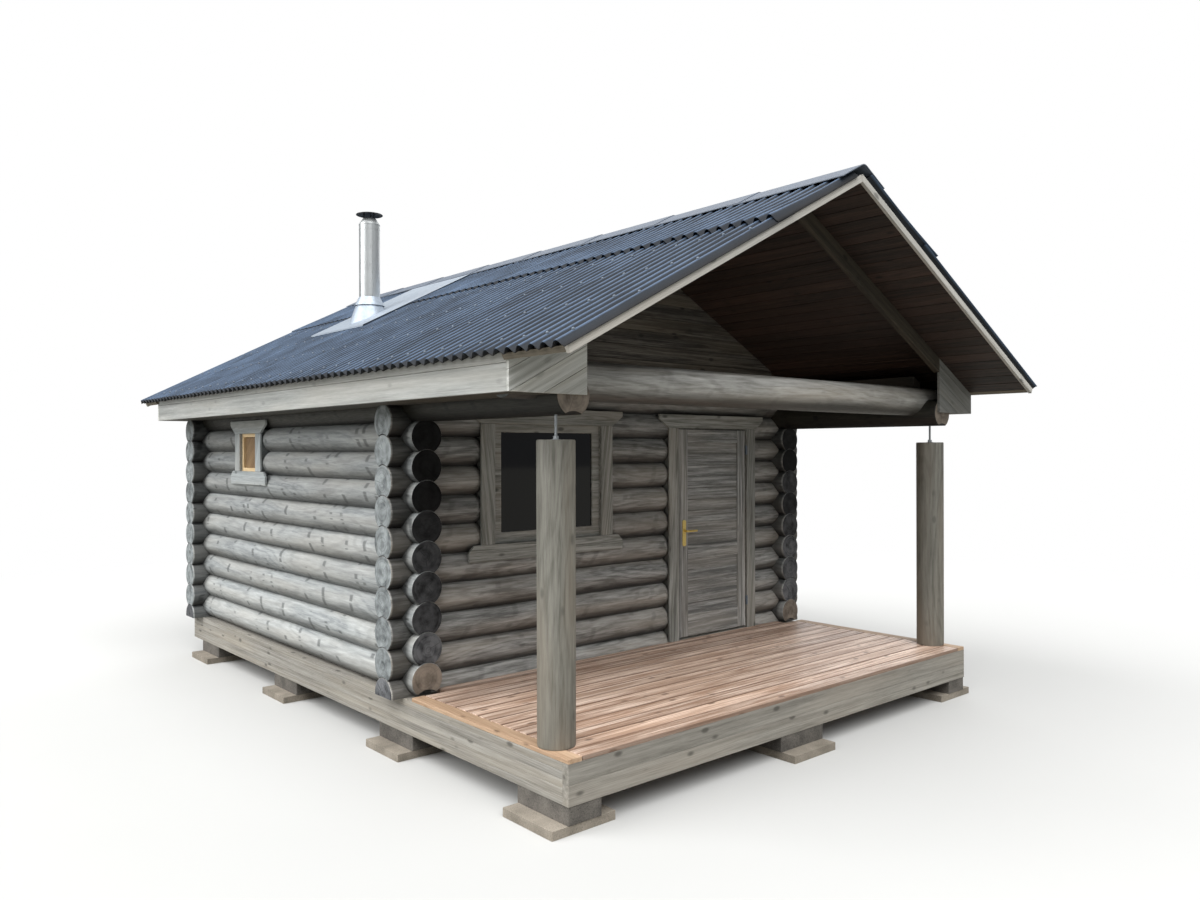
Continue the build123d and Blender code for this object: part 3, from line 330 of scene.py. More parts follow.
def sheet_finish(node, colour, dusty, metallic, rough, grain_size, share=0.5):
    """Metal or painted sheet: an even coat with slow clouds of dust or zinc flowers and a faint texture."""
    place = node("ShaderNodeTexCoord").outputs["Object"]
    clouds = node("ShaderNodeTexNoise", {"Vector": place, "Scale": 5.0, "Detail": 4.0})
    flowers = node("ShaderNodeTexVoronoi", {"Vector": place, "Scale": 1 / grain_size}).outputs["Color"]
    flower = node("ShaderNodeSeparateColor", {0: flowers})
    mixed = node("ShaderNodeMath", {0: flower, 1: 0.35, 2: clouds}, operation="MULTIPLY_ADD")
    amount = node("ShaderNodeMapRange", {0: mixed, 1: 0.45, 2: 0.95, 3: 0.0, 4: share})
    shade = node("ShaderNodeMix", {0: amount, 6: tone(colour), 7: tone(dusty)}, data_type="RGBA")
    gloss = node("ShaderNodeMapRange", {0: mixed, 1: 0.4, 2: 1.0, 3: rough - 0.06, 4: rough + 0.1})
    fine = node("ShaderNodeTexNoise", {"Vector": place, "Scale": 1.5 / grain_size, "Detail": 3.0})
    bump = node("ShaderNodeBump", {"Height": fine, "Strength": 0.12, "Distance": 0.001})
    return node(
        "ShaderNodeBsdfPrincipled",
        {"Base Color": shade, "Roughness": gloss, "Metallic": metallic, "Normal": bump},
    )


def wave_finish(node, trough, body, crest, dust_colour):
    """Bitumen-fibre roof sheet: painted shade in the troughs, a paler painted highlight on the crests, and a
    low sheen.
    """
    grain = node("ShaderNodeAttribute", attribute_name="grain").outputs["Vector"]
    wave_height = node("ShaderNodeSeparateXYZ", {0: grain}).outputs["Z"]
    place = node("ShaderNodeTexCoord").outputs["Object"]
    clouds = node("ShaderNodeTexNoise", {"Vector": place, "Scale": 3.0, "Detail": 5.0})
    fibre = node("ShaderNodeTexNoise", {"Vector": place, "Scale": 220.0, "Detail": 3.0})
    uneven = node("ShaderNodeMath", {0: clouds, 1: 0.01, 2: wave_height}, operation="MULTIPLY_ADD")
    # Painted highlight along the crests and painted shade in the troughs, by the wave's height
    worn = node("ShaderNodeMapRange", {0: uneven, 1: 0.035, 2: 0.045}, interpolation_type="SMOOTHSTEP")
    painted_trough_shade = node("ShaderNodeMapRange", {0: uneven, 1: 0.008, 2: 0.026, 3: 1.0, 4: 0.0})
    dust = node("ShaderNodeMapRange", {0: clouds, 1: 0.45, 2: 0.75, 3: 0.0, 4: 0.15})
    shade = node("ShaderNodeMix", {0: worn, 6: tone(body), 7: tone(crest)}, data_type="RGBA")
    shade = node("ShaderNodeMix", {0: painted_trough_shade, 6: shade, 7: tone(trough)}, data_type="RGBA")
    shade = node("ShaderNodeMix", {0: dust, 6: shade, 7: tone(dust_colour)}, data_type="RGBA")
    gloss = node("ShaderNodeMapRange", {0: fibre, 1: 0.3, 2: 0.7, 3: 0.48, 4: 0.64})
    bump = node("ShaderNodeBump", {"Height": fibre, "Strength": 0.2, "Distance": 0.001})
    return node(
        "ShaderNodeBsdfPrincipled",
        {"Base Color": shade, "Roughness": gloss, "Normal": bump, "Specular IOR Level": 0.38},
    )


def floor_paint(node, light, dark, in_bounces):
    """Matt paint that runs out to white with the distance; light bounces off it as off dull ground."""
    place = node("ShaderNodeTexCoord").outputs["Object"]
    clouds = node("ShaderNodeTexNoise", {"Vector": place, "Scale": 0.4, "Detail": 3.0})
    seen = node("ShaderNodeLightPath").outputs["Is Camera Ray"]
    pale = node("ShaderNodeMix", {0: clouds, 6: tone(light), 7: tone(dark)}, data_type="RGBA")
    shade = node("ShaderNodeMix", {0: seen, 6: tone(in_bounces), 7: pale}, data_type="RGBA")
    paint = node("ShaderNodeBsdfPrincipled", {"Base Color": shade, "Roughness": 0.9})
    away = node("ShaderNodeVectorMath", {0: place}, operation="LENGTH")
    run_out = node("ShaderNodeMapRange", {0: away, 1: 4.5, 2: 11.0}, interpolation_type="SMOOTHSTEP")
    run_out = node("ShaderNodeMath", {0: run_out, 1: seen}, operation="MULTIPLY")
    white = node("ShaderNodeEmission", {"Color": (1, 1, 1, 1), "Strength": 1.0})
    return node("ShaderNodeMixShader", {0: run_out, 1: paint, 2: white})


def window_glass(node, light, dark):
    """Sealed glazing unit in front of a dark room: a smooth dark face that mirrors its surroundings."""
    place = node("ShaderNodeTexCoord").outputs["Object"]
    waves = node("ShaderNodeTexNoise", {"Vector": place, "Scale": 3.0, "Detail": 1.0})
    shade = node("ShaderNodeMix", {0: waves, 6: tone(light), 7: tone(dark)}, data_type="RGBA")
    bump = node("ShaderNodeBump", {"Height": waves, "Strength": 0.05, "Distance": 0.002})
    return node(
        "ShaderNodeBsdfPrincipled",
        {"Base Color": shade, "Roughness": 0.04, "Specular IOR Level": 0.35, "Normal": bump},
    )


MATERIALS = {}


def paint(key, name, look, *colours, **settings):
    """Make one material with a look and keep it under a short name of its own."""
    material = bpy.data.materials.new(name)
    material.use_nodes = True
    tree = material.node_tree
    tree.nodes.clear()
    shader = look(partial(add_node, tree), *colours, **settings)
    add_node(tree, "ShaderNodeOutputMaterial", {"Surface": shader})
    MATERIALS[key] = material


def paint_logs(colours):
    """Finishes of the round logs and the posts, and of their sawn ends."""
    # Peeled trunks soak up the oil stain unevenly: silver grey, with drawn-out streaks, and painted shade
    # darkening them towards the seams
    stain = (colours.stain_light, colours.stain_dark, colours.stain_warm)
    log = {"warm_share": 0.4, "whorls": True, "rough": 0.45}
    paint(
        "log", "oil-stained peeled pine log", wood, *stain, **log,
        contrast=1.1, knot_share=0.68, under=0.75, stretch=3.2,
    )
    # The porch keeps rain and sun off the front logs, so their stain is browner and their knots faint; their
    # darker tone is also painted shade of the porch roof
    paint(
        "log_porch", "oil-stained pine log in the porch", wood, "#b4b4b1", "#62625f", "#aba295", **log,
        contrast=1.15, knot_share=0.28, under=0.85, stretch=3,
    )
    # The tie log catches the daylight at the porch's edge: pale, with few knots
    paint(
        "log_tie", "oil-stained pine tie log", wood, "#c2c1bd", "#75746e", "#aca395",
        warm_share=0.5, whorls=True, contrast=0.9, rough=0.45, knot_share=0.15, under=0.85, stretch=3,
    )
    # The eave logs lie deep under the roof boards and are painted dark brown, as painted shade
    paint(
        "log_eave", "oil-stained pine log under the eave", wood, "#3f3e36", "#1c1b17", "#3b382d",
        warm_share=0.4, whorls=True, contrast=1.3, rough=0.5, under=0.7,
    )
    # Turned posts are smooth, of one even grey brown
    paint(
        "post", "oil-stained turned pine post", wood, "#8f8d84", "#5a5850", "#8a8072",
        warm_share=0.5, contrast=0.9, rough=0.55, knot_share=0.5, stretch=2.5,
    )
    # End grain drinks more stain: blue grey, with rings and cracks
    paint("log_end", "oil-stained pine end grain", end_grain, "#979d9e", "#464b4d")
    # Ends that face the weather have gone nearly black; painted shade, through the tint, makes the upper ones
    # far darker than the lower ones
    paint(
        "log_end_dark", "oil-stained end grain facing the weather", end_grain, "#4a4b4d", "#141517",
        lifts=(0.16, 3.3), shine=0.15,
    )
    # Freshly cut ends under cover are only oiled and keep the wood's warmth
    paint("log_end_warm", "oiled pine end grain", end_grain, "#93877a", "#5a5147")


def paint_boards(colours, deck_half_width):
    """Finishes of planed boards: outside, under the roof and on the deck."""
    # Planed fascias take the stain evenly and stay pale
    paint("board", "oil-stained planed pine", wood, "#c1c3c0", "#8c8e8b", "#bebab0", knot_share=0.3)
    # The boxed eaves' ends face the sun and are the palest of the stained boards
    paint(
        "cap", "oil-stained eave end board", wood, "#e6e7e3", "#a3a49d", "#dbd5c8",
        contrast=0.9, knot_share=0.4,
    )
    # Barge boards are calm and warm grey
    paint("barge", "oil-stained barge board", wood, "#cbc9c2", "#9a9893", "#c3bbae", contrast=0.7)
    # Casings round the door and the window show dark late wood through a thin coat
    paint(
        "casing", "oil-stained casing board", wood, "#babbb6", "#64655f", "#aaa296", contrast=1.1, rough=0.55
    )
    # Casings out on the left wall are bleached to silver
    paint("casing_pale", "oil-stained outer casing", wood, "#c3c9cb", "#8d9496", "#bdb9ae", rough=0.55)
    # Glued lamellas are even, with little figure, and splashed browner along the front
    paint("rim", "oil-stained laminated pine", wood, "#b2afa8", "#77736b", "#b3a998", contrast=0.9)
    paint("rim_front", "oil-stained front board", wood, "#aba79e", "#706c64", "#a79d90", contrast=0.9)
    # The gable lies in the roof's shade: dark, with strong grain
    paint("gable", "oil-stained gable boards", wood, "#7d7a73", "#35322e", "#7d7361", contrast=1.5)
    # Door boards are brushed, so soft wood and hard wood stand apart in light and dark lines
    paint(
        "door_board", "oil-stained door boards", wood, "#bcbdbb", "#626361", "#aea79c",
        contrast=1.6, rough=0.5, knot_share=0.3,
    )
    # Unstained boards go grey at an open edge and honey brown in the shade
    paint("raw_dark", "weathered raw pine", wood, "#8b8374", "#5a5245", "#8f8471", contrast=0.7)
    paint("raw_brown", "raw pine in shade", wood, "#a98a62", "#6f5539", "#a98a62", contrast=0.8)
    paint("raw", "raw planed pine", wood, "#eed8b2", "#c9a46c", "#eed8b2", contrast=0.6, knot_share=0.3)
    # Boards and rafters under the roof get the least light, and the lining is stained brown
    paint("shade_board", "oil-stained pine in the porch", wood, "#5c594f", "#2c2a26", "#5f5342")
    paint("rafter", "stained pine rafter", wood, "#4f483b", "#27231d", "#4d4538")
    paint(
        "ceiling", "brown-stained pine lining", wood, "#43332a", "#18110e", "#4c3830", contrast=1.3, rough=0.5
    )
    # Heat-treated boards are a warm brown through and through, with a slight polish from feet
    paint(
        "deck", "heat-treated pine decking", wood, colours.deck_light, colours.deck_dark, "#e0c0a8",
        contrast=1.7, rough=0.42, half_width=deck_half_width,
    )
    # The deck's border is another wood, straight-grained and more yellow
    paint(
        "border", "oiled larch border board", wood, "#cfb296", "#94765b", "#d2b89b", contrast=0.8, rough=0.55
    )


def paint_roof_and_ground():
    """Finishes of the roof, the metalwork, the glass, the concrete and the floor of the stage."""
    # Bitumen pressed into fibre: black and matt, with painted shade in the troughs and a blue-grey painted
    # highlight along the crests
    paint("roof", "black bitumen-fibre sheet", wave_finish, "#06070a", "#141b24", "#566a84", "#3a4048")
    paint("ridge", "black bitumen-fibre ridge cap", sheet_finish, "#5b636f", "#6a7380", 0.0, 0.52, 0.012, 0.6)
    # Rolled stainless steel: bright, with soft wide clouds
    paint("stainless", "rolled stainless steel", sheet_finish, "#cfd2d2", "#b4b8b8", 0.85, 0.36, 0.05)
    # Hot-dipped zinc freezes in flowers some 14 mm across and goes dull blue grey
    paint("zinc", "galvanised sheet steel", sheet_finish, "#abb5c0", "#96a1ae", 0.5, 0.48, 0.014)
    # Nail heads are painted towards the sheets' colour
    paint("nail", "painted nail head", sheet_finish, "#6f7985", "#4d555f", 0.0, 0.4, 0.004)
    # Powder coat bakes to an even black with a fine orange skin
    paint("black_steel", "black powder-coated steel", sheet_finish, "#1b1d1f", "#2b2e31", 0.0, 0.45, 0.004)
    # Lacquer keeps brass yellow and bright
    paint("brass", "lacquered brass", sheet_finish, "#f2da8c", "#dcbc68", 0.85, 0.4, 0.01)
    # Electroplated zinc is thin, white and fine-grained
    paint("plated", "zinc-plated steel", sheet_finish, "#bfc3c6", "#9ba1a6", 1.0, 0.35, 0.004)
    # A dark room behind the panes makes them read as black
    paint("glass", "dark window glazing", window_glass, "#050507", "#0e0e11")
    # Cast blocks are rough and dark with damp; pressed slabs are paler and denser
    paint("block", "dark cast concrete", concrete, "#77726b", "#45423e")
    paint("slab", "pressed concrete paving", concrete, "#a0978a", "#756e63", 0.004)
    # A dull pale ground that doesn't take the eye
    paint("floor", "matt pale studio paint", floor_paint, "#c9c9c7", "#c4c4c2", "#85847e")


class Shape:
    """Points and faces gathered before they become one mesh, with the grain and tint of every point."""

    def __init__(self):
        self.points = []
        self.faces = []
        self.finishes = []
        self.grain = []
        self.tints = []

    def add(self, points, faces, grain, tint, finishes=0):
        first = len(self.points)
        self.points += [tuple(p) for p in points]
        self.faces += [tuple(first + i for i in face) for face in faces]
        self.finishes += [finishes] * len(faces) if isinstance(finishes, int) else finishes
        self.grain += [tuple(g) for g in grain]
        self.tints += tint if isinstance(tint, list) else [tint] * len(points)

    def build(self, name, finishes, smooth):
        """Make the mesh, with faces outwards and edges sharper than smooth degrees kept sharp."""
        mesh = bpy.data.meshes.new(name)
        mesh.from_pydata(self.points, [], self.faces)
        for key in finishes:
            mesh.materials.append(MATERIALS[key])
        mesh.polygons.foreach_set("material_index", self.finishes)
        grain = mesh.attributes.new("grain", "FLOAT_VECTOR", "POINT")
        grain.data.foreach_set("vector", [c for g in self.grain for c in g])
        tint = mesh.attributes.new("tint", "FLOAT", "POINT")
        tint.data.foreach_set("value", self.tints)
        shell = bmesh.new()
        shell.from_mesh(mesh)
        bmesh.ops.recalc_face_normals(shell, faces=shell.faces)
        shell.to_mesh(mesh)
        shell.free()
        mesh.shade_smooth()
        mesh.set_sharp_from_angle(angle=math.radians(smooth))
        mesh.update()
        piece = bpy.data.objects.new(name, mesh)
        bpy.context.scene.collection.objects.link(piece)
        return piece


def soften(piece, width, segments):
    """Round a piece's sharp edges a little, as planing and handling do."""
    bevel = piece.modifiers.new("edges", "BEVEL")
    bevel.width = width
    bevel.segments = segments
    bevel.limit_method = "ANGLE"
    bevel.angle_limit = math.radians(30)
    bevel.harden_normals = True
    piece.data.shade_smooth()


def rows_tree():
    """Node tree that repeats a piece in a row and in rows of rows, each copy with its own grain and tint."""
    tree = bpy.data.node_groups.new("rows of like pieces", "GeometryNodeTree")
    sockets = (
        ("Geometry", "NodeSocketGeometry"),
        ("Count", "NodeSocketInt"),
        ("Step", "NodeSocketVector"),
        ("Rows", "NodeSocketInt"),
        ("Row step", "NodeSocketVector"),
        ("Stray", "NodeSocketVector"),
        ("Seed", "NodeSocketInt"),
        ("Finish", "NodeSocketMaterial"),
    )
    for name, kind in sockets:
        tree.interface.new_socket(name, in_out="INPUT", socket_type=kind)
    tree.interface.new_socket("Geometry", in_out="OUTPUT", socket_type="NodeSocketGeometry")
    node = partial(add_node, tree)
    given = node("NodeGroupInput").outputs
    line = node("GeometryNodeMeshLine", {"Count": given["Count"], "Offset": given["Step"]})
    starts = node("GeometryNodeMeshLine", {"Count": given["Rows"], "Offset": given["Row step"]})
    lines = node("GeometryNodeInstanceOnPoints", {"Points": starts, "Instance": line})
    places = node("GeometryNodeRealizeInstances", {"Geometry": lines})
    copies = node("GeometryNodeInstanceOnPoints", {"Points": places, "Instance": given["Geometry"]})
    back = node("ShaderNodeVectorMath", {0: given["Stray"], 1: (-1, -1, -1)}, operation="MULTIPLY")
    stray = node(
        "FunctionNodeRandomValue", {"Min": back, "Max": given["Stray"], "Seed": given["Seed"]},
        data_type="FLOAT_VECTOR",
    )
    moved = node("GeometryNodeTranslateInstances", {"Instances": copies, "Translation": stray})
    chance = node("FunctionNodeRandomValue", {"Seed": given["Seed"]}, data_type="FLOAT")
    marked = node(
        "GeometryNodeStoreNamedAttribute", {"Geometry": moved, "Name": "chance", "Value": chance},
        data_type="FLOAT", domain="INSTANCE",
    )
    real = node("GeometryNodeRealizeInstances", {"Geometry": marked})
    # Each copy is sawn from another place in the tree and takes the stain its own way
    grain = node("GeometryNodeInputNamedAttribute", {"Name": "grain"}, data_type="FLOAT_VECTOR")
    drawn = node("GeometryNodeInputNamedAttribute", {"Name": "chance"}, data_type="FLOAT")
    shift = node("ShaderNodeVectorMath", {0: drawn, 1: (57.3, 0.0, 0.05), 2: grain}, operation="MULTIPLY_ADD")
    tinted = node(
        "GeometryNodeStoreNamedAttribute", {"Geometry": real, "Name": "tint", "Value": drawn},
        data_type="FLOAT", domain="POINT",
    )
    stored = node(
        "GeometryNodeStoreNamedAttribute", {"Geometry": tinted, "Name": "grain", "Value": shift},
        data_type="FLOAT_VECTOR", domain="POINT",
    )
    finish = node("GeometryNodeSetMaterial", {"Geometry": stored, "Material": given["Finish"]})
    node("NodeGroupOutput", {"Geometry": finish})
    return tree


def repeat(piece, finish, count, step, rows=1, row_step=(0, 0, 0), stray=(0, 0, 0), seed=1):
    """Repeat a piece with the rows tree and turn the result into its plain mesh."""
    tree = bpy.data.node_groups.get("rows of like pieces") or rows_tree()
    nodes = piece.modifiers.new("rows", "NODES")
    nodes.node_group = tree
    given = {
        "Count": count,
        "Step": step,
        "Rows": rows,
        "Row step": row_step,
        "Stray": stray,
        "Seed": seed,
        "Finish": MATERIALS[finish],
    }
    for socket in tree.interface.items_tree:
        if socket.in_out == "INPUT" and socket.name in given:
            nodes[socket.identifier] = given[socket.name]
    graph = bpy.context.evaluated_depsgraph_get()
    mesh = bpy.data.meshes.new_from_object(
        piece.evaluated_get(graph), preserve_all_data_layers=True, depsgraph=graph
    )
    piece.modifiers.clear()
    piece.data = mesh


def make(
    shape, name, finishes, nodes=(), smooth=30, edge=0.0, segments=2, repeats=None, body="house"
):
    """Finish a piece: its mesh, soft edges and copies, its body and the nodes it stands for."""
    piece = shape.build(name, finishes, smooth)
    if edge:
        soften(piece, edge, segments)
    if repeats:
        repeat(piece, finishes[0], **repeats)
    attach(piece, body)
    if nodes:
        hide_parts(*nodes)


def on_slope(level, x):
    """Height at x of a roof layer whose height over the wall axis is level."""
    return level + (WALL_X - abs(x)) * SLOPE


def tree_spot(rng):
    """Where in the tree a board was sawn: how far up the trunk, and how far off the pith."""
    return rng.uniform(0, 40), rng.uniform(-0.05, 0.05), rng.choice((-1, 1)) * rng.uniform(0.03, 0.09)


def stack_faces(rows, n, ring=False):
    """Faces of rows of n points, each row a closed loop; the ends are capped, or joined up into a ring."""
    faces = []
    for i in range(rows if ring else rows - 1):
        k = (i + 1) % rows
        faces += [(i * n + j, i * n + (j + 1) % n, k * n + (j + 1) % n, k * n + j) for j in range(n)]
    return faces if ring else faces + [tuple(range(n)), tuple(reversed(range((rows - 1) * n, rows * n)))]


def sheet_faces(rows, n):
    """Faces of a thin closed sheet: two layers, each of rows of n points, joined round their edges."""
    layer = rows * n
    faces = []
    for row in range(rows - 1):
        for a in range(row * n, row * n + n - 1):
            b = layer + a
            faces += [(a, a + 1, a + n + 1, a + n), (b, b + n, b + n + 1, b + 1)]
    ends = [row * n + i for i in range(n - 1) for row in (0, rows - 1)]
    edges = [row * n + i for row in range(rows - 1) for i in (0, n - 1)]
    faces += [(a, a + 1, layer + a + 1, layer + a) for a in ends]
    return faces + [(a, a + n, layer + a + n, layer + a) for a in edges]


def turned(shape, centre, profile, sides=40, ring=False, place=None):
    """Add a piece turned round an upright axis from (radius, height) points; place moves it."""
    turns = [math.tau * i / sides for i in range(sides)]
    grain = [(centre[0] + r * math.cos(t), centre[1] + r * math.sin(t), z) for r, z in profile for t in turns]
    points = [place(Vector(p)) for p in grain] if place else grain
    shape.add(points, stack_faces(len(profile), sides, ring), grain, 0.5)


def board(shape, low, high, grain_axis, rng, tint=None, place=None, shift=None):
    """One plank between two corners, its grain along an axis; shift says where in the tree it was sawn."""
    (x0, y0, z0), (x1, y1, z1) = low, high
    points = [(x, y, z) for x in (x0, x1) for y in (y0, y1) for z in (z0, z1)]
    faces = [(0, 1, 3, 2), (4, 6, 7, 5), (0, 4, 5, 1), (2, 3, 7, 6), (0, 2, 6, 4), (1, 5, 7, 3)]
    order = {"x": (0, 1, 2), "y": (1, 0, 2), "z": (2, 0, 1)}[grain_axis]
    centre = [(a + b) / 2 for a, b in zip(low, high)]
    shift = shift or tree_spot(rng)
    grain = [tuple(p[order[i]] - centre[order[i]] + shift[i] for i in range(3)) for p in points]
    if place:
        points = [place(Vector(p)) for p in points]
    shape.add(points, faces, grain, rng.uniform(0.25, 0.75) if tint is None else tint)


def slab_of(shape, outline, y0, y1, rng, slant=0.0, tint=None, along_y=False):
    """A board with a polygon outline in x and z between two depths, its grain along y or slanting in x."""
    points = [(x, y, z) for y in (y0, y1) for x, z in outline]
    first_x, first_z = outline[0]
    shift = tree_spot(rng)
    if along_y:
        grain = [(y + shift[0], x - first_x + shift[1], z - first_z + shift[2]) for x, y, z in points]
    else:
        c, s = math.cos(slant), math.sin(slant)
        grain = [
            (c * (x - first_x) + s * (z - first_z) + shift[0], c * z - s * x + shift[1], y - y0 + shift[2])
            for x, y, z in points
        ]
    faces = stack_faces(2, len(outline))
    shape.add(points, faces, grain, rng.uniform(0.25, 0.75) if tint is None else tint)


def cut_below(outline, level, slope, keep_below):
    """The part of a convex outline under, or over, the line z = level + slope * x."""
    kept = []
    for (x0, z0), (x1, z1) in zip(outline, outline[1:] + outline[:1]):
        over0, over1 = z0 - level - slope * x0, z1 - level - slope * x1
        if keep_below:
            over0, over1 = -over0, -over1
        if over0 >= 0:
            kept.append((x0, z0))
        if over0 * over1 < 0:
            share = over0 / (over0 - over1)
            kept.append((x0 + (x1 - x0) * share, z0 + (z1 - z0) * share))
    return kept


def solids_of(node):
    """The closed solids of a CAD node, each as its merged points and triangles."""
    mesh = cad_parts[node].data
    places = {}
    corner = [places.setdefault(tuple(round(c, 5) for c in v.co), len(places)) for v in mesh.vertices]
    triangles = [tuple(corner[i] for i in face.vertices) for face in mesh.polygons]
    triangles = [t for t in triangles if len(set(t)) == 3]
    edges = {}
    for index, triangle in enumerate(triangles):
        for i in range(3):
            edges.setdefault(frozenset((triangle[i], triangle[i - 1])), []).append(index)
    owner = list(range(len(triangles)))

    def top(index):
        while owner[index] != index:
            owner[index] = owner[owner[index]]
            index = owner[index]
        return index

    for users in edges.values():
        if len(users) == 2:
            owner[top(users[0])] = top(users[1])
    groups = {}
    for index, triangle in enumerate(triangles):
        groups.setdefault(top(index), []).append(triangle)
    where = [Vector(p) for p in places]
    return [(where, group) for group in groups.values() if len(group) > 2]


def carved(name, node, finishes, edge, tints=(0.3, 0.7), seed=0, segments=2):
    """The boards or blocks of a CAD node with softened edges, each with its own grain along its longest side.

    A second finish is for those that lie out on the left wall.
    """
    rng = random.Random(seed + 11)
    shape = Shape()
    for where, triangles in solids_of(node):
        solid = bmesh.new()
        used = {i: solid.verts.new(where[i]) for i in sorted({i for t in triangles for i in t})}
        for triangle in triangles:
            solid.faces.new([used[i] for i in triangle])
        bmesh.ops.dissolve_limit(solid, angle_limit=math.radians(1), verts=solid.verts, edges=solid.edges)
        solid.verts.index_update()
        run = {e: (e.verts[1].co - e.verts[0].co).normalized() for e in solid.edges}
        along = run[max(solid.edges, key=lambda e: e.calc_length())]
        crossing = [e for e in solid.edges if abs(run[e].dot(along)) < 0.3]
        across = run[max(crossing, key=lambda e: e.calc_length())]
        across = (across - along * across.dot(along)).normalized()
        up = along.cross(across)
        centre = sum((v.co for v in solid.verts), Vector()) / len(solid.verts)
        shift = Vector(tree_spot(rng))
        ways = (along, across, up)
        grain = [Vector([(v.co - centre).dot(way) for way in ways]) + shift for v in solid.verts]
        faces = [[v.index for v in f.verts] for f in solid.faces]
        finish = 1 if len(finishes) > 1 and centre.x < -WALL_X else 0
        shape.add([v.co for v in solid.verts], faces, grain, rng.uniform(*tints), finish)
        solid.free()
    make(shape, name, finishes, [node], edge=edge, segments=segments)


def laminated(name, node, finish, layers, seed):
    """Square beams of a CAD node, each glued up from level lamellas with a fine line between them."""
    rng = random.Random(seed)
    shape = Shape()
    seam = 0.0005
    for where, triangles in solids_of(node):
        used = [where[i] for t in triangles for i in t]
        low = [min(p[i] for p in used) for i in range(3)]
        high = [max(p[i] for p in used) for i in range(3)]
        along = "x" if high[0] - low[0] > high[1] - low[1] else "y"
        step = (high[2] - low[2]) / layers
        for i in range(layers):
            bottom = low[2] + step * i + (seam if i else 0)
            top = low[2] + step * (i + 1) - (seam if i < layers - 1 else 0)
            corners = ((low[0], low[1], bottom), (high[0], high[1], top))
            board(shape, *corners, along, rng, rng.uniform(0.35, 0.65))
    make(shape, name, [finish], [node], edge=0.0022)


LOG_SIDES = 40
COVE_SIDES = 7
ROUND_SIDES = 48
# How far in from a log's end, and what share of the full round: sawn square, or tapered at an opening
SAWN_END = ((0, 0.965), (0.0035, 0.99), (0.009, 1))
TAPERED_END = ((0, 0.70), (0.008, 0.79), (0.02, 0.88), (0.038, 0.95), (0.062, 0.99), (0.085, 1))
# How far a log is from a true round, in shares of its radius, and how far its pith wanders, in metres
OVAL, LOBES = 0.004, 0.003
SLOW_WANDER, QUICK_WANDER = 0.010, 0.004


def log_outline(course):
    """A log's section: a round, or one whose underside is scooped out to ride on a log a course below."""

    def on_round(turns, drop=0.0):
        return [(LOG_RADIUS * math.cos(t), LOG_RADIUS * math.sin(t) - drop) for t in turns]

    if not course:
        return on_round([math.tau * i / ROUND_SIDES for i in range(ROUND_SIDES)])
    edge = math.asin(course / 2 / LOG_RADIUS)
    outline = on_round([-edge + (math.pi + 2 * edge) * i / LOG_SIDES for i in range(LOG_SIDES + 1)])
    scoop = [math.pi - edge - (math.pi - 2 * edge) * i / COVE_SIDES for i in range(1, COVE_SIDES)]
    return outline + on_round(scoop, course)


def log_rows(start, end, clips, tapers, shaded):
    """Where along a log its sections stand, each with its share of the full round."""
    stations = {}
    for place, inward, tapered in ((start, 1, tapers[0]), (end, -1, tapers[1])):
        for distance, share in TAPERED_END if tapered else SAWN_END:
            stations[place + inward * distance] = share
    count = max(1, int((end - start) / 0.3))
    for i in range(1, count):
        stations.setdefault(start + (end - start) * i / count, 1)
    for low, high, fade, _ in shaded:
        for place in (low - fade, low, high, high + fade):
            if start + 0.01 < place < end - 0.01:
                stations.setdefault(place, 1)
    # A clip starts and stops between two sections that stand close together
    edges = [p for clip in clips for p in clip[:2] if start < p < end]
    rows = [row for row in stations.items() if not any(abs(row[0] - e) < 0.001 for e in edges)]
    return sorted(rows + [(e + step, 1) for e in edges for step in (-0.0004, 0.0004)])


def trunk(
    shape, axis, centre, start, end, rng, cove=COURSE, clips=(), tapers=(False, False), finish=(1, 1),
    size=1.0, tint=0.5, shaded=(),
):
    """One log or post: sawn or tapered ends, a slightly uneven round, and the pith wandering along it.

    centre is the axis's other two coordinates, cove is how far below lies the log that the scoop fits, or 0,
    and finish is the ends' finishes. clips are (from, to, lowest, highest) stretches cut flat, and shaded are
    (from, to, fade, depth) stretches by a corner where the wood is painted darker, as painted shade.
    """
    rows = log_rows(start, end, clips, tapers, shaded)
    outline = log_outline(cove)
    phase = [rng.uniform(0, math.tau) for _ in range(5)]
    shift = rng.uniform(0, 60)
    tint += rng.uniform(-0.15, 0.15)
    points, grain, tints = [], [], []
    for place, scale in rows:
        # Painted shade: in the shaded stretches the tint is lowered, so the stain there is painted darker
        painted_shade = 0.0
        for low, high, fade, depth in shaded:
            painted_shade = max(painted_shade, depth * min(1, (place - low + fade) / fade, (high + fade - place) / fade))
        tints += [tint - painted_shade] * len(outline)
        low, high = -FAR, FAR
        for clip in clips:
            if clip[0] < place < clip[1]:
                low, high = max(low, clip[2]), min(high, clip[3])
        lean = (
            SLOW_WANDER * math.sin(1.1 * place + phase[3]) + QUICK_WANDER * math.sin(4.3 * place + phase[0]),
            SLOW_WANDER * math.sin(1.4 * place + phase[4]) + QUICK_WANDER * math.sin(3.7 * place + phase[1]),
        )
        for a, b in outline:
            turn = math.atan2(b, a)
            oval = OVAL * math.sin(2 * turn + phase[0] + 1.3 * place)
            lobes = LOBES * math.sin(3 * turn + phase[1] - 2.1 * place)
            near = scale * size * (1 + (oval + lobes))
            a = a * near
            b = min(max(b * near, low - centre[1]), high - centre[1])
            spot = [centre[0] + a, centre[1] + b]
            spot.insert("xyz".index(axis), place)
            points.append(spot)
            grain.append((place + shift, a + lean[0], b + lean[1]))
    faces = stack_faces(len(rows), len(outline))
    shape.add(points, faces, grain, tints, [0] * (len(faces) - 2) + list(finish))


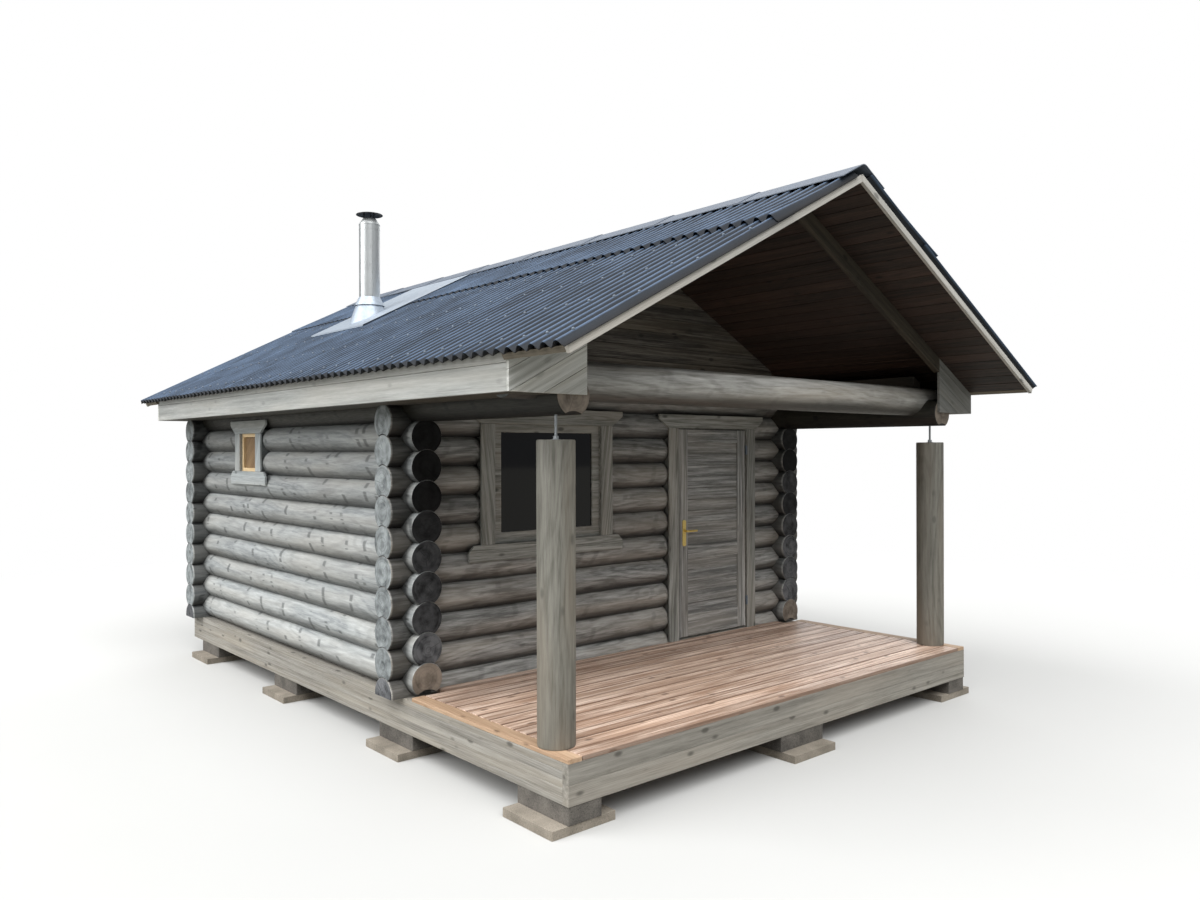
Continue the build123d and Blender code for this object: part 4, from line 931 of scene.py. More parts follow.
def split_at(start, end, z, openings):
    """Split a log where its axis runs through an opening: (start, end, tapered ends)."""
    runs = []
    tapered = False
    for low, high, bottom, top in openings:
        if bottom < z < top:
            runs.append((start, low, (tapered, True)))
            start, tapered = high, True
    return runs + [(start, end, (tapered, False))]


# Finishes of a log's sawn ends, by their place in the list that every log piece has
END_GREY = (1, 1)
END_DARK = (2, 2)
END_WARM = (3, 3)


class SAUNA_colours(bpy.types.PropertyGroup):
    """Colours of the stains and boards, as they look in daylight."""

    stain_light: bpy.props.FloatVectorProperty(
        name="Stain, light",
        description="Grey stain over early wood",
        subtype="COLOR",
        default=tone("#b9bdbc")[:3],
    )
    stain_dark: bpy.props.FloatVectorProperty(
        name="Stain, dark",
        description="Grey stain over late wood and knots",
        subtype="COLOR",
        default=tone("#85898a")[:3],
    )
    stain_warm: bpy.props.FloatVectorProperty(
        name="Stain, warm",
        description="Where the wood shows through",
        subtype="COLOR",
        default=tone("#b5b1a8")[:3],
    )
    deck_light: bpy.props.FloatVectorProperty(
        name="Deck, light",
        description="Decking on the board face",
        subtype="COLOR",
        default=tone("#f8e2d1")[:3],
    )
    deck_dark: bpy.props.FloatVectorProperty(
        name="Deck, dark",
        description="Decking in knots and late wood",
        subtype="COLOR",
        default=tone("#9c7c67")[:3],
    )


class SAUNA_sizes(bpy.types.PropertyGroup):
    """Sizes of what repeats on the building."""

    deck_board_count: bpy.props.IntProperty(
        name="Deck boards",
        description="Full-length boards on the porch",
        default=13,
        min=4,
    )
    deck_gap: bpy.props.FloatProperty(
        name="Deck gap",
        description="Open joint between deck boards",
        default=0.006,
        subtype="DISTANCE",
        unit="LENGTH",
    )
    lining_width: bpy.props.FloatProperty(
        name="Lining board",
        description="Width of a roof lining board",
        default=0.115,
        subtype="DISTANCE",
        unit="LENGTH",
    )
    gable_board_width: bpy.props.FloatProperty(
        name="Gable board",
        description="Height of a gable board",
        default=0.12,
        subtype="DISTANCE",
        unit="LENGTH",
    )
    wave_steps: bpy.props.IntProperty(
        name="Wave steps",
        description="Flats that draw one wave of the roof sheets",
        default=8,
        min=4,
    )


def deck_step(sizes):
    """How far one deck board lies from the next."""
    return (span("deck_border_boards", "y")[1] - span("deck_boards", "y")[0]) / sizes.deck_board_count


class SAUNA_OT_finishes(bpy.types.Operator):
    """The materials of every piece, from the stain and deck colours"""

    bl_idname = "sauna.finishes"
    bl_label = "Finishes"

    def execute(self, context):
        colours = context.scene.sauna_colours
        paint_logs(colours)
        paint_boards(colours, deck_step(context.scene.sauna_sizes) / 2)
        paint_roof_and_ground()
        return {"FINISHED"}


def lay_cross_logs(shapes, rng):
    """The logs that run across: the back wall's, and the front wall's with its door and window."""
    left, right = -WALL_X - STUB, WALL_X + STUB
    window = (*WINDOW_X, WINDOW_Z[0], WINDOW_Z[1] - LOG_RADIUS)
    door = (*DOOR_X, 0, DOOR_TOP - LOG_RADIUS / 2)
    lintel_clips = ((*WINDOW_X, WINDOW_Z[1], FAR), (*DOOR_X, DOOR_TOP, FAR))
    # Painted shade: the stubs out past the side walls lie in the notches' shade and are painted darker
    # through the tint
    near, far = WALL_X - 0.07, WALL_X + STUB - 0.014
    corners = ((-far, -near, 0.01, 1.35), (near, far, 0.01, 1.35))
    for k in range(WALL_COURSES + 2):
        z = CROSS_LOG_Z + k * COURSE
        # The lowest logs are halved, flat on the rim beams
        half = () if k else ((-FAR, FAR, RIM_TOP, FAR),)
        # Painted shade: the higher courses, in the roof's shade, get a lower tint and so a darker stain
        look = {
            "cove": COURSE if k else 0,
            "finish": END_GREY if k else END_DARK,
            "tint": 0.75 - 0.05 * k,
            "shaded": corners,
        }
        trunk(shapes["back_wall_logs"], "x", (BACK_Y, z), left, right, rng, clips=half, **look)
        over_door = k >= WALL_COURSES
        runs = split_at(left, right, z, () if over_door else (window, door))
        for start, end, tapers in runs:
            if over_door:
                name, clips = "front_logs_over_door", lintel_clips if k == WALL_COURSES else ()
            else:
                name, clips = "front_logs_right" if end == right else "front_logs_left", half
            trunk(shapes[name], "x", (FRONT_Y, z), start, end, rng, clips=clips, tapers=tapers, **look)


def lay_side_logs(shapes, rng):
    """The long logs of both side walls; the left one has the small window."""
    # The long logs stop a little short of the cross logs' reach
    front = LOG_FRONT_Y + 0.025
    # Painted shade: the front stubs and the stretches by the corners' notches are painted darker through the
    # tint
    corners = (
        (front + 0.08, FRONT_Y + 0.1, 0.045, 1.6),
        (front - 0.1, FRONT_Y, 0.01, 0.3),
        (BACK_Y - 0.1, LOG_BACK_Y - 0.08, 0.1, 1.2),
    )
    # Painted shade on the inner flank of the right wall's front stubs
    inside_corner = (front + 0.022, FRONT_Y + 0.1, 0.012, 1.3)
    window = (*SMALL_Y, *SMALL_Z)
    for k in range(WALL_COURSES):
        z = SIDE_LOG_Z + k * COURSE
        start_y, flat = front, ()
        if k == 0:
            # The lowest logs lie flat on the rim; over the deck their ends are scooped out
            start_y, flat = front + 0.18, ((-FAR, FAR, RIM_TOP, FAR),)
            for side, name in ((-1, "left_wall_logs"), (1, "right_wall_logs")):
                trunk(
                    shapes[name], "y", (side * WALL_X, z), front, start_y, rng, 0.181, finish=END_WARM,
                    tint=0.6, shaded=corners,
                )
        look = {"cove": COURSE if k else 0, "finish": END_DARK}
        # Painted shade, partly weathering too: the higher courses, under the eaves, get a lower tint and so a
        # darker stain
        tint = 0.85 - 0.1 * k
        trunk(
            shapes["right_wall_logs"], "y", (WALL_X, z), start_y, LOG_BACK_Y, rng, clips=flat,
            tint=tint + 0.2, shaded=(*corners, inside_corner), **look,
        )
        under_window = z < SMALL_Z[0] < z + LOG_RADIUS
        clips = ((*SMALL_Y, -FAR, SMALL_Z[0]),) if under_window else flat
        for start, end, tapers in split_at(start_y, LOG_BACK_Y, z, (window,)):
            trunk(
                shapes["left_wall_logs"], "y", (-WALL_X, z), start, end, rng, clips=clips, tapers=tapers,
                tint=tint, shaded=corners, **look,
            )


class SAUNA_OT_logs(bpy.types.Operator):
    """Round logs with saddle-notched corners, split at the door and the windows"""

    bl_idname = "sauna.logs"
    bl_label = "Wall logs"

    def execute(self, context):
        rng = random.Random(7)
        shapes = defaultdict(Shape)
        lay_cross_logs(shapes, rng)
        lay_side_logs(shapes, rng)
        # Painted shade: the eave logs, deep under the roof, get a low tint
        for side in (-1, 1):
            trunk(
                shapes["eave_logs"], "y", (side * WALL_X, EAVE_LOG_Z), CAP_BACK_Y, LOG_BACK_Y, rng,
                finish=END_WARM, tint=0.1,
            )
        trunk(shapes["tie_log"], "x", (TIE_LOG_Y, TIE_LOG_Z), *span("tie_log", "x"), rng, 0)
        for name, shape in shapes.items():
            usual = "log_porch" if name.startswith("front") else "log"
            finish = {"eave_logs": "log_eave", "tie_log": "log_tie"}.get(name, usual)
            finishes = [finish, "log_end", "log_end_dark", "log_end_warm"]
            make(shape, "round_" + name, finishes, [name], 40)
        return {"FINISHED"}


class SAUNA_OT_posts(bpy.types.Operator):
    """Porch posts with their screw jacks under the eave logs"""

    bl_idname = "sauna.posts"
    bl_label = "Porch posts"

    def execute(self, context):
        rng = random.Random(23)
        low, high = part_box("porch_posts")
        radius = (high[1] - low[1]) / 2
        y = (low[1] + high[1]) / 2
        posts_x = (low[0] + radius, high[0] - radius)
        posts = Shape()
        for x in posts_x:
            trunk(posts, "z", (x, y), low[2], high[2], rng, 0, size=radius / LOG_RADIUS)
        make(posts, "turned_porch_posts", ["post", "log_end"], ["porch_posts"], 40)

        def chamfered(bottom, top, r, flare):
            return (r, bottom), (r + flare, bottom + flare), (r + flare, top - flare), (r, top)

        foot, top = high[2], span("post_jacks", "z")[1]
        washer, nut, rod = 0.024, 0.015, 0.0075
        washer_top, nut_top = foot + 0.003, foot + 0.021
        thread_step = 0.004
        jacks, thread = Shape(), Shape()
        for x in posts_x:
            turned(jacks, (x, y), chamfered(foot, washer_top, washer, 0.0005), 24)
            turned(jacks, (x, y), chamfered(washer_top, nut_top, nut, 0.001), 6)
            turned(jacks, (x, y), chamfered(nut_top, top, rod, 0.0004), 16)
        turned(thread, (posts_x[0], y), chamfered(foot + 0.022, foot + 0.0245, rod, 0.0011), 16)
        make(jacks, "screw_jacks", ["plated"], ["post_jacks"], 35)
        threads = {
            "count": int((top - foot - 0.026) / thread_step),
            "step": (0, 0, thread_step),
            "rows": 2,
            "row_step": (posts_x[1] - posts_x[0], 0, 0),
        }
        make(thread, "jack_threads", ["plated"], smooth=35, repeats=threads)
        return {"FINISHED"}


def lay_sheet(shape, side, low_x, high_x, lift, first, wave_steps, tint):
    """One corrugated sheet on a slope, between two distances from the ridge, starting at a wave."""
    last = min(first + SHEET_WAVES, WAVES)
    steps = (last - first) * wave_steps
    stations = [low_x + (high_x - low_x) * share for share in (0, 0.15, 0.35, 0.6, 1)]
    # Where the upper row rides up over the lower one: how far that reaches, and by how much
    lap_reach, lap_swell, lap_gap = 0.4, 0.5, 0.003
    board_gap = 0.0004
    # The left slope starts with a trough at the porch end and the right slope with a crest
    shift = 0.5 if side > 0 else 0
    plate_y, plate_half = (PLATE_LOW[1] + PLATE_HIGH[1]) / 2, (PLATE_HIGH[1] - PLATE_LOW[1]) / 2
    points, grain = [], []
    for layer in (0, 1):
        for x in stations:
            for i in range(steps + 1):
                turn = first + i / wave_steps
                y = ROOF_FRONT_Y + WAVE_PITCH * turn
                out = SHEET_RISE * (0.5 - 0.5 * math.cos((turn + shift) * math.tau)) ** 0.75
                grain.append((x, y, out))
                # The upper row's crests stand up over the lower ones along the lap, most at the porch
                near_lap = max(0.0, 1 - (low_x - x) / lap_reach) if lift else 0.0
                near_lap *= 1 - 0.7 * turn / WAVES
                # The flashing holds down the waves that it covers
                if side < 0:
                    near_lap *= min(1.0, max(0.0, (abs(y - plate_y) - plate_half) / WAVE_PITCH))
                out *= 1 + lap_swell * near_lap
                out += SHEET_THICKNESS * layer + lift + lap_gap * near_lap + SIDE_LIFT * i / steps
                level = on_slope(SHEATHING_TOP, x) + board_gap + out * math.cos(PITCH)
                points.append((side * (x + out * math.sin(PITCH)), y, level))
    shape.add(points, sheet_faces(len(stations), steps + 1), grain, tint)


def nail_sheets(side):
    """Nails through every second crest of a slope, in six rows, as painted round heads."""
    head = 0.009
    row_gap = 0.4275
    first_row = 0.11
    low_x = SHEET_EAVE_X - first_row
    out = SHEET_RISE + SHEET_THICKNESS + SIDE_LIFT
    start = Vector((
        side * (low_x + out * math.sin(PITCH)),
        ROOF_FRONT_Y + WAVE_PITCH * (1 if side > 0 else 0.5),
        on_slope(SHEATHING_TOP, low_x) + out * math.cos(PITCH),
    ))
    lean = Matrix.Rotation(side * PITCH, 3, "Y")
    profile = ((head, -0.004), (head * 0.9, 0.003), (head * 0.4, 0.0065))
    nail = Shape()
    turned(nail, (0, 0), profile, 8, place=lambda p: lean @ p + start)
    rows = {
        "count": 35,
        "step": (0, 2 * WAVE_PITCH, 0),
        "rows": 6,
        "row_step": (-side * row_gap, 0, row_gap * SLOPE),
        "stray": (0.004, 0.003, 0),
        "seed": 3,
    }
    name = "sheet_nails_" + ("right" if side > 0 else "left")
    make(nail, name, ["nail"], smooth=40, repeats=rows)


def lay_flashing(rng):
    """The flue's plate lies over the crests and steps down to pass under the ridge caps."""
    crest = 0.0426
    lift = 0.014
    thickness = 0.002
    step_down = 0.008
    level = SHEATHING_TOP + crest * UPRIGHT + lift
    run = ((-RIDGE_WING - 0.02, 0.0), (0.005 - RIDGE_WING, step_down), (PLATE_HIGH[0], step_down))
    # Its lower edge is folded down over the wave behind it
    low_x = PLATE_LOW[0]
    edge = on_slope(level, low_x)
    outline = [(low_x, edge - lift), (low_x + 0.001, edge)]
    outline += [(x, on_slope(level - drop, x)) for x, drop in run]
    outline += [(x, on_slope(level - drop, x) - thickness) for x, drop in reversed(run)]
    outline += [(low_x + 0.003, edge - thickness), (low_x + 0.002, edge - lift)]
    plate = Shape()
    slab_of(plate, outline, PLATE_LOW[1], PLATE_HIGH[1], rng, PITCH, 0.5)
    make(plate, "pipe_flashing_plate", ["zinc"], ["roof_flashing"])


def lay_ridge_caps(rng):
    """Eight peaked caps along the ridge, each tucked under the next one towards the porch."""
    count = 8
    overlap = 0.12
    lap_drop = 0.0065
    thickness = 0.006
    fold_half = 0.03
    fold_drop = fold_half * SLOPE / 2
    step = (ROOF_LENGTH - overlap) / count
    crown = span("ridge_caps", "z")[1] - 0.001
    # The fold is a parabola that runs out into both wings
    fold = [fold_half * (i / 4 - 1) for i in range(9)]
    foot = crown - fold_drop - (RIDGE_WING - fold_half) * SLOPE
    section = [(x, crown - fold_drop * (x / fold_half) ** 2) for x in fold]
    section = [(-RIDGE_WING, foot), *section, (RIDGE_WING, foot)]
    caps = Shape()
    for i in range(count):
        y0 = ROOF_FRONT_Y + i * step
        ends = ((y0, 0.0), (y0 + step + overlap, lap_drop))
        points = [
            (x, y, z - drop - down) for down in (0.0, thickness) for y, drop in ends for x, z in section
        ]
        grain = [(y, x, z) for _ in (0, 1) for y, _ in ends for x, z in section]
        caps.add(points, sheet_faces(len(ends), len(section)), grain, rng.uniform(0.3, 0.7))
    make(caps, "peaked_ridge_caps", ["ridge"], ["ridge_caps"], 35)


class SAUNA_OT_roof(bpy.types.Operator):
    """Corrugated sheets in two rows on each slope, their nails, the flashing and the ridge caps"""

    bl_idname = "sauna.roof"
    bl_label = "Roof sheets"

    def execute(self, context):
        wave_steps = context.scene.sauna_sizes.wave_steps
        rng = random.Random(5)
        rows = ((SHEET_EAVE_X, ROW_LAP_X - ROW_LAP, 0.0), (ROW_LAP_X, SHEET_RIDGE_X, ROW_LIFT))
        sheets = Shape()
        for side in (-1, 1):
            for low_x, high_x, lift in rows:
                for first in range(0, WAVES - 1, SHEET_WAVES - 1):
                    lay_sheet(sheets, side, low_x, high_x, lift, first, wave_steps, rng.uniform(0.3, 0.7))
        make(sheets, "corrugated_sheets", ["roof"], ["roof_sheets"], 50)
        for side in (-1, 1):
            nail_sheets(side)
        lay_flashing(rng)
        lay_ridge_caps(rng)
        return {"FINISHED"}


def laid(side, out, up):
    """x and z of a point on the lining: out along a slope from the ridge, and up square to it."""
    run = out * math.cos(PITCH)
    return side * (run + up * math.sin(PITCH)), on_slope(SHEATHING_BOTTOM, run) + up * math.cos(PITCH)


def lay_lining(lining_width, rng):
    """Tongued boards over the rafters, each slope one board repeated, with the edge boards past the eaves."""
    low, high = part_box("roof_boards")
    thick = (SHEATHING_TOP - SHEATHING_BOTTOM) * math.cos(PITCH)
    reach = (FASCIA_X - 0.026) / math.cos(PITCH)
    count = round(reach / lining_width)
    width = reach / count
    sides = ((-1, "lining_boards_left", ["roof_boards"]), (1, "lining_boards_right", ()))
    for side, name, nodes in sides:

        def lay(p, side=side):
            x, z = laid(side, p.x, p.z)
            return x, p.y, z

        shape = Shape()
        corners = ((0.0005, low[1], 0), (width - 0.0008, high[1], thick))
        board(shape, *corners, "y", rng, place=lay, shift=(0, 0, 0.06))
        rows = {
            "count": count,
            "step": (side * width * math.cos(PITCH), 0, -width * math.sin(PITCH)),
            "seed": 3 + side,
        }
        make(shape, name, ["ceiling"], nodes, edge=0.004, segments=1, repeats=rows)
    # Past the boxed eaves the last board reaches further out and shows its sawn edge
    edges = Shape()
    outer = high[0] / math.cos(PITCH) - thick * math.tan(PITCH)
    inner = reach + 0.0006
    fascia_front, fascia_back = span("fascia_boards", "y")
    for side in (-1, 1):
        corners = ((inner, 0.0), (outer, 0.0), (outer, thick), (inner, thick))
        outline = [laid(side, *corner) for corner in corners]
        for y0, y1 in ((low[1], fascia_front), (fascia_back, high[1])):
            slab_of(edges, outline, y0, y1, rng, along_y=True)
    make(edges, "verge_edge_boards", ["raw_dark"])


def lay_gables(board_width, rng):
    """Level boards across both gables, cut to the roof's slope."""
    thickness = 0.022
    joint = 0.0015
    low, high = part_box("gable_boards")
    shape = Shape()
    for y0, y1 in ((low[1], low[1] + thickness), (high[1] - thickness, high[1])):
        z = low[2]
        while z < high[2] - 0.01:
            z_top = min(z + board_width - joint, high[2] - 0.002)
            levels = (z, z_top)
            wide, wide_top = [min(high[0], WALL_X - (level - SHEATHING_BOTTOM) / SLOPE) for level in levels]
            outline = ((-wide, z), (wide, z), (wide_top, z_top), (-wide_top, z_top))
            points = [(x, y, level) for y in (y0, y1) for x, level in outline]
            shift = (rng.uniform(0, 40), rng.uniform(-0.05, 0.05), rng.uniform(0.03, 0.09))
            grain = [(x + shift[0], level - z + shift[1], y - y0 + shift[2]) for x, y, level in points]
            shape.add(points, stack_faces(2, len(outline)), grain, rng.uniform(0.2, 0.8))
            z += board_width
    make(shape, "gable_wall_boards", ["gable"], ["gable_boards"], edge=0.004, segments=1)


class SAUNA_OT_lining(bpy.types.Operator):
    """Tongued lining boards over the rafters and boards across both gables"""

    bl_idname = "sauna.lining"
    bl_label = "Roof and gable boards"

    def execute(self, context):
        sizes = context.scene.sauna_sizes
        rng = random.Random(31)
        lay_lining(sizes.lining_width, rng)
        lay_gables(sizes.gable_board_width, rng)
        return {"FINISHED"}


def lay_fascias(joint, rng):
    """A wide and a narrow board, one over the other, along each eave."""
    low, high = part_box("fascia_boards")
    thickness = 0.025
    narrow = 0.056
    top = on_slope(SHEATHING_TOP, FASCIA_X) - 0.001
    middle = top - narrow
    shape = Shape()
    for side in (-1, 1):
        x0, x1 = sorted((side * (FASCIA_X - thickness), side * FASCIA_X))
        for z0, z1 in ((FASCIA_BOTTOM, middle), (middle + joint, top)):
            board(shape, (x0, low[1], z0), (x1, high[1], z1), "y", rng, 0.6)
    make(shape, "eave_fascias", ["board"], ["fascia_boards"], edge=0.003)


def close_eaves(joint, rng):
    """End caps of the eave boxes: boards laid along the slope, cut level below and upright inside."""
    back = span("eave_end_caps", "y")[1]
    thickness = 0.022
    joint_depths = (0.055, 0.168, 0.281, 0.5)
    base = SHEATHING_BOTTOM + WALL_X * SLOPE
    top_in, top_out = on_slope(SHEATHING_BOTTOM, CAP_INNER_X), on_slope(SHEATHING_BOTTOM, FASCIA_X)
    shape = Shape()
    for y0, y1 in ((CAP_FRONT_Y, CAP_BACK_Y), (back - thickness, back)):
        for side in (-1, 1):
            whole = [
                (side * CAP_INNER_X, FASCIA_BOTTOM),
                (side * FASCIA_X, FASCIA_BOTTOM),
                (side * FASCIA_X, top_out),
                (side * CAP_INNER_X, top_in),
            ]
            below = 0.0
            for depth in joint_depths:
                strip = cut_below(whole, base - below, -side * SLOPE, True)
                strip = cut_below(strip, base - depth + joint, -side * SLOPE, False)
                if len(strip) > 2:
                    # The right end lies in the shade of the roof
                    tint = rng.uniform(0.3, 0.9) if side < 0 else rng.uniform(-0.8, -0.5)
                    slab_of(shape, strip, y0, y1, rng, -side * PITCH, tint)
                below = depth
    make(shape, "eave_box_ends", ["cap"], ["eave_end_caps"], edge=0.002, segments=1)


def lay_rafters(rng):
    """Pairs of rafters: one in the porch's edge, which ends at the caps, and five over the walls."""
    width = 0.05
    middle_gap = 0.0005
    spacing = (BACK_Y - FRONT_Y) / 4
    rows = [(CAP_FRONT_Y, CAP_INNER_X)]
    rows += [(FRONT_Y - width / 2 + spacing * i, FASCIA_X - 0.026) for i in range(5)]
    shape = Shape()
    for y, reach in rows:
        for side in (-1, 1):
            outline = [
                (side * middle_gap, on_slope(RAFTER_BOTTOM, 0)),
                (side * reach, on_slope(RAFTER_BOTTOM, reach)),
                (side * reach, on_slope(SHEATHING_BOTTOM, reach)),
                (side * middle_gap, on_slope(SHEATHING_BOTTOM, 0)),
            ]
            slab_of(shape, outline, y, y + width, rng, -side * PITCH)
    make(shape, "roof_rafters", ["rafter"], ["rafters"], edge=0.003)


class SAUNA_OT_eaves(bpy.types.Operator):
    """Boxed eaves: fascias of two boards, end caps of boards laid along the slope, and the rafters"""

    bl_idname = "sauna.eaves"
    bl_label = "Boxed eaves"

    def execute(self, context):
        rng = random.Random(61)
        joint = 0.0016
        lay_fascias(joint, rng)
        close_eaves(joint, rng)
        lay_rafters(rng)
        return {"FINISHED"}


class SAUNA_OT_deck(bpy.types.Operator):
    """Porch decking with open joints, its border boards and the floor inside"""

    bl_idname = "sauna.deck"
    bl_label = "Deck and floor"

    def execute(self, context):
        sizes = context.scene.sauna_sizes
        rng = random.Random(41)
        low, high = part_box("deck_boards")
        step = deck_step(sizes)
        plank = Shape()
        corner = (high[0], low[1] + step - sizes.deck_gap, high[2])
        board(plank, low, corner, "x", rng, shift=(0, 0, 0.06))
        rows = {
            "count": sizes.deck_board_count,
            "step": (0, step, 0),
            "stray": (0.0015, 0.0006, 0.0003),
            "seed": 5,
        }
        make(plank, "deck_planks", ["deck"], ["deck_boards"], edge=0.004, repeats=rows)
        # The last board runs between the side walls' logs
        last = Shape()
        inner = WALL_X - LOG_RADIUS - 0.001
        back = span("deck_border_boards", "y")[1]
        board(last, (-inner, back, low[2]), (inner, high[1], high[2]), "x", rng)
        make(last, "deck_plank_by_wall", ["deck"], edge=0.004)
        carved("deck_borders", "deck_border_boards", ["border"], 0.004, seed=3)
        low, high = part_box("floor_boards")
        count = 30
        width = (high[1] - low[1]) / count
        floor = Shape()
        board(floor, low, (high[0], low[1] + width - 0.0006, high[2]), "x", rng)
        rows = {"count": count, "step": (0, width, 0), "seed": 9}
        nodes = ["floor_boards"]
        make(floor, "floor_planks", ["raw"], nodes, edge=0.0015, segments=1, repeats=rows)
        return {"FINISHED"}


def lay_wall_plates():
    """Plates on the side walls; they start at the tie log, so the eave box is open to the porch."""
    rng = random.Random(91)
    foot = span("wall_plates", "z")[0]
    half_width = 0.05
    sides_x = (WALL_X - half_width, WALL_X + half_width)
    shape = Shape()
    for side in (-1, 1):
        outline = [(side * x, foot) for x in sides_x]
        outline += [(side * x, on_slope(RAFTER_BOTTOM, x) - SEAT_GAP) for x in reversed(sides_x)]
        slab_of(shape, outline, TIE_LOG_Y, LOG_BACK_Y, rng, tint=-0.7, along_y=True)
    make(shape, "eave_plates", ["shade_board"], ["wall_plates"], edge=0.003)


class SAUNA_OT_timber(bpy.types.Operator):
    """Rim beams, joists, barges, soffits, casings, sills, sashes, frames and plates, with soft edges"""

    bl_idname = "sauna.timber"
    bl_label = "Planed timber"

    def execute(self, context):
        laminated("side_rim_lamellas", "side_rim_beams", "rim", 5, 81)
        laminated("cross_rim_lamellas", "cross_rim_beams", "rim_front", 2, 82)
        casing = ["casing", "casing_pale"]
        stained = (
            ("barges", "barge_boards", ["barge"], 0.003, (0.6, 0.8)),
            ("casings", "casing_boards", casing, 0.005, (0.3, 0.6)),
            ("opening_heads", "head_boards", casing, 0.005, (0.2, 0.5)),
            ("window_sills", "sill_boards", casing, 0.005, (0.4, 0.6)),
            ("sash", "window_sash", casing, 0.004, (0.2, 0.4)),
        )
        for seed, (name, node, finishes, edge, tints) in enumerate(stained):
            carved(name, node, finishes, edge, tints, seed)
        raw = (
            ("joists", "floor_joists", "raw", 0.002),
            ("soffits", "eave_soffits", "shade_board", 0.002),
            ("jambs", "door_jambs", "casing", 0.002),
            ("door_head", "door_head_and_threshold", "casing", 0.002),
            ("window_lining", "window_frame", "casing", 0.002),
            ("small_lining", "small_window_frame", "casing_pale", 0.002),
            ("small_sash", "small_window_sash", "raw", 0.003),
            ("small_closing_board", "small_window_board", "raw_brown", 0.002),
        )
        for seed, (name, node, finish, edge) in enumerate(raw, 50):
            carved(name, node, [finish], edge, seed=seed)
        lay_wall_plates()
        return {"FINISHED"}


class SAUNA_OT_door(bpy.types.Operator):
    """Door leaf: stiles and rails round two panels of tongued boards laid level"""

    bl_idname = "sauna.door"
    bl_label = "Door leaf"

    def execute(self, context):
        rng = random.Random(71)
        low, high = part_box("door_leaf")
        stile, top_rail, bottom_rail = 0.105, 0.112, 0.185
        middle_rail = (DECK_TOP + 0.672, DECK_TOP + 0.792)
        panel_board = 0.097
        recess = 0.009
        seam = 0.0008
        shape = Shape()
        x0, x1 = low[0] + stile, high[0] - stile
        for a, b in ((low[0], x0), (x1, high[0])):
            board(shape, (a, low[1], low[2]), (b, high[1], high[2]), "z", rng, rng.uniform(0.45, 0.7))
        rails = ((low[2], low[2] + bottom_rail), middle_rail, (high[2] - top_rail, high[2]))
        for z0, z1 in rails:
            board(shape, (x0 + seam, low[1], z0), (x1 - seam, high[1], z1), "x", rng, rng.uniform(0.45, 0.7))
        for bottom, top in ((rails[0][1], rails[1][0]), (rails[1][1], rails[2][0])):
            count = round((top - bottom) / panel_board)
            width = (top - bottom) / count
            for i in range(count):
                z0 = bottom + width * i
                corners = ((x0, low[1] + recess, z0 + seam), (x1, high[1] - recess, z0 + width - seam))
                board(shape, *corners, "x", rng, rng.uniform(0.25, 0.6))
        nodes = ["door_leaf"]
        make(shape, "panelled_door_leaf", ["door_board"], nodes, edge=0.003, body="door")
        return {"FINISHED"}


class SAUNA_OT_foundation(bpy.types.Operator):
    """Concrete blocks on paving slabs with worn edges"""

    bl_idname = "sauna.foundation"
    bl_label = "Foundation"

    def execute(self, context):
        carved("slabs", "paving_slabs", ["slab"], 0.006, segments=3)
        carved("blocks", "foundation_blocks", ["block"], 0.005)
        return {"FINISHED"}


def ring_flue(centre, radius, top):
    """Two pressed rings near the flue's mouth, and the pipe's lock seam down its front."""
    seam_foot = 3.43
    bands = Shape()
    for bottom, height, swell in ((top - 0.062, 0.008, 0.0022), (top - 0.105, 0.006, 0.0018)):
        inner, outer = radius - 0.002, radius + swell
        profile = [(r, bottom) for r in (inner, outer)] + [(r, bottom + height) for r in (outer, inner)]
        turned(bands, centre, profile, ring=True)
    front = centre[1] - radius
    corners = (
        (centre[0] - 0.02, front - 0.0016, seam_foot),
        (centre[0] - 0.011, front + 0.004, top - 0.06),
    )
    board(bands, *corners, "z", random.Random(2))
    make(bands, "flue_rings_and_seam", ["stainless"])


def cap_flue(centre, pipe_top):
    """A dished lid on three straps over the flue's mouth."""
    low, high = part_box("rain_cap")
    brim = high[2] - 0.0225
    dish = [(0.02, brim + 0.022), (0.06, brim + 0.016), (0.1, brim + 0.006), ((high[0] - low[0]) / 2, brim)]
    dish += [(r, z - 0.004) for r, z in reversed(dish)]
    lid = Shape()
    turned(lid, centre, dish)
    strap_circle, strap_half = 0.052, 0.004
    for turn in (-1.2, 0.9, 3.0):
        x, y = centre[0] + strap_circle * math.cos(turn), centre[1] + strap_circle * math.sin(turn)
        foot = (x - strap_half, y - strap_half, pipe_top - 0.05)
        corners = (foot, (x + strap_half, y + strap_half, brim + 0.012))
        board(lid, *corners, "z", random.Random(1))
    make(lid, "dished_rain_cap", ["black_steel"], ["rain_cap"], 40)


class SAUNA_OT_metal(bpy.types.Operator):
    """Flue rings and rain cap, and the metals and glass of the CAD pieces that stay as they are"""

    bl_idname = "sauna.metal"
    bl_label = "Metal and glass"

    def execute(self, context):
        low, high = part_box("chimney_pipe")
        centre = ((low[0] + high[0]) / 2, (low[1] + high[1]) / 2)
        cap_flue(centre, high[2])
        ring_flue(centre, (high[0] - low[0]) / 2, high[2])
        finishes = {
            "chimney_pipe": "stainless",
            "storm_collar": "zinc",
            "pipe_boot": "zinc",
            "door_handle_plates": "brass",
            "door_lever": "brass",
            "hinge_pins": "nail",
            "hinge_barrels": "nail",
            "window_glass": "glass",
        }
        for node, finish in finishes.items():
            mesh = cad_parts[node].data
            mesh.materials.clear()
            mesh.materials.append(MATERIALS[finish])
            mesh.polygons.foreach_set("material_index", [0] * len(mesh.polygons))
        return {"FINISHED"}


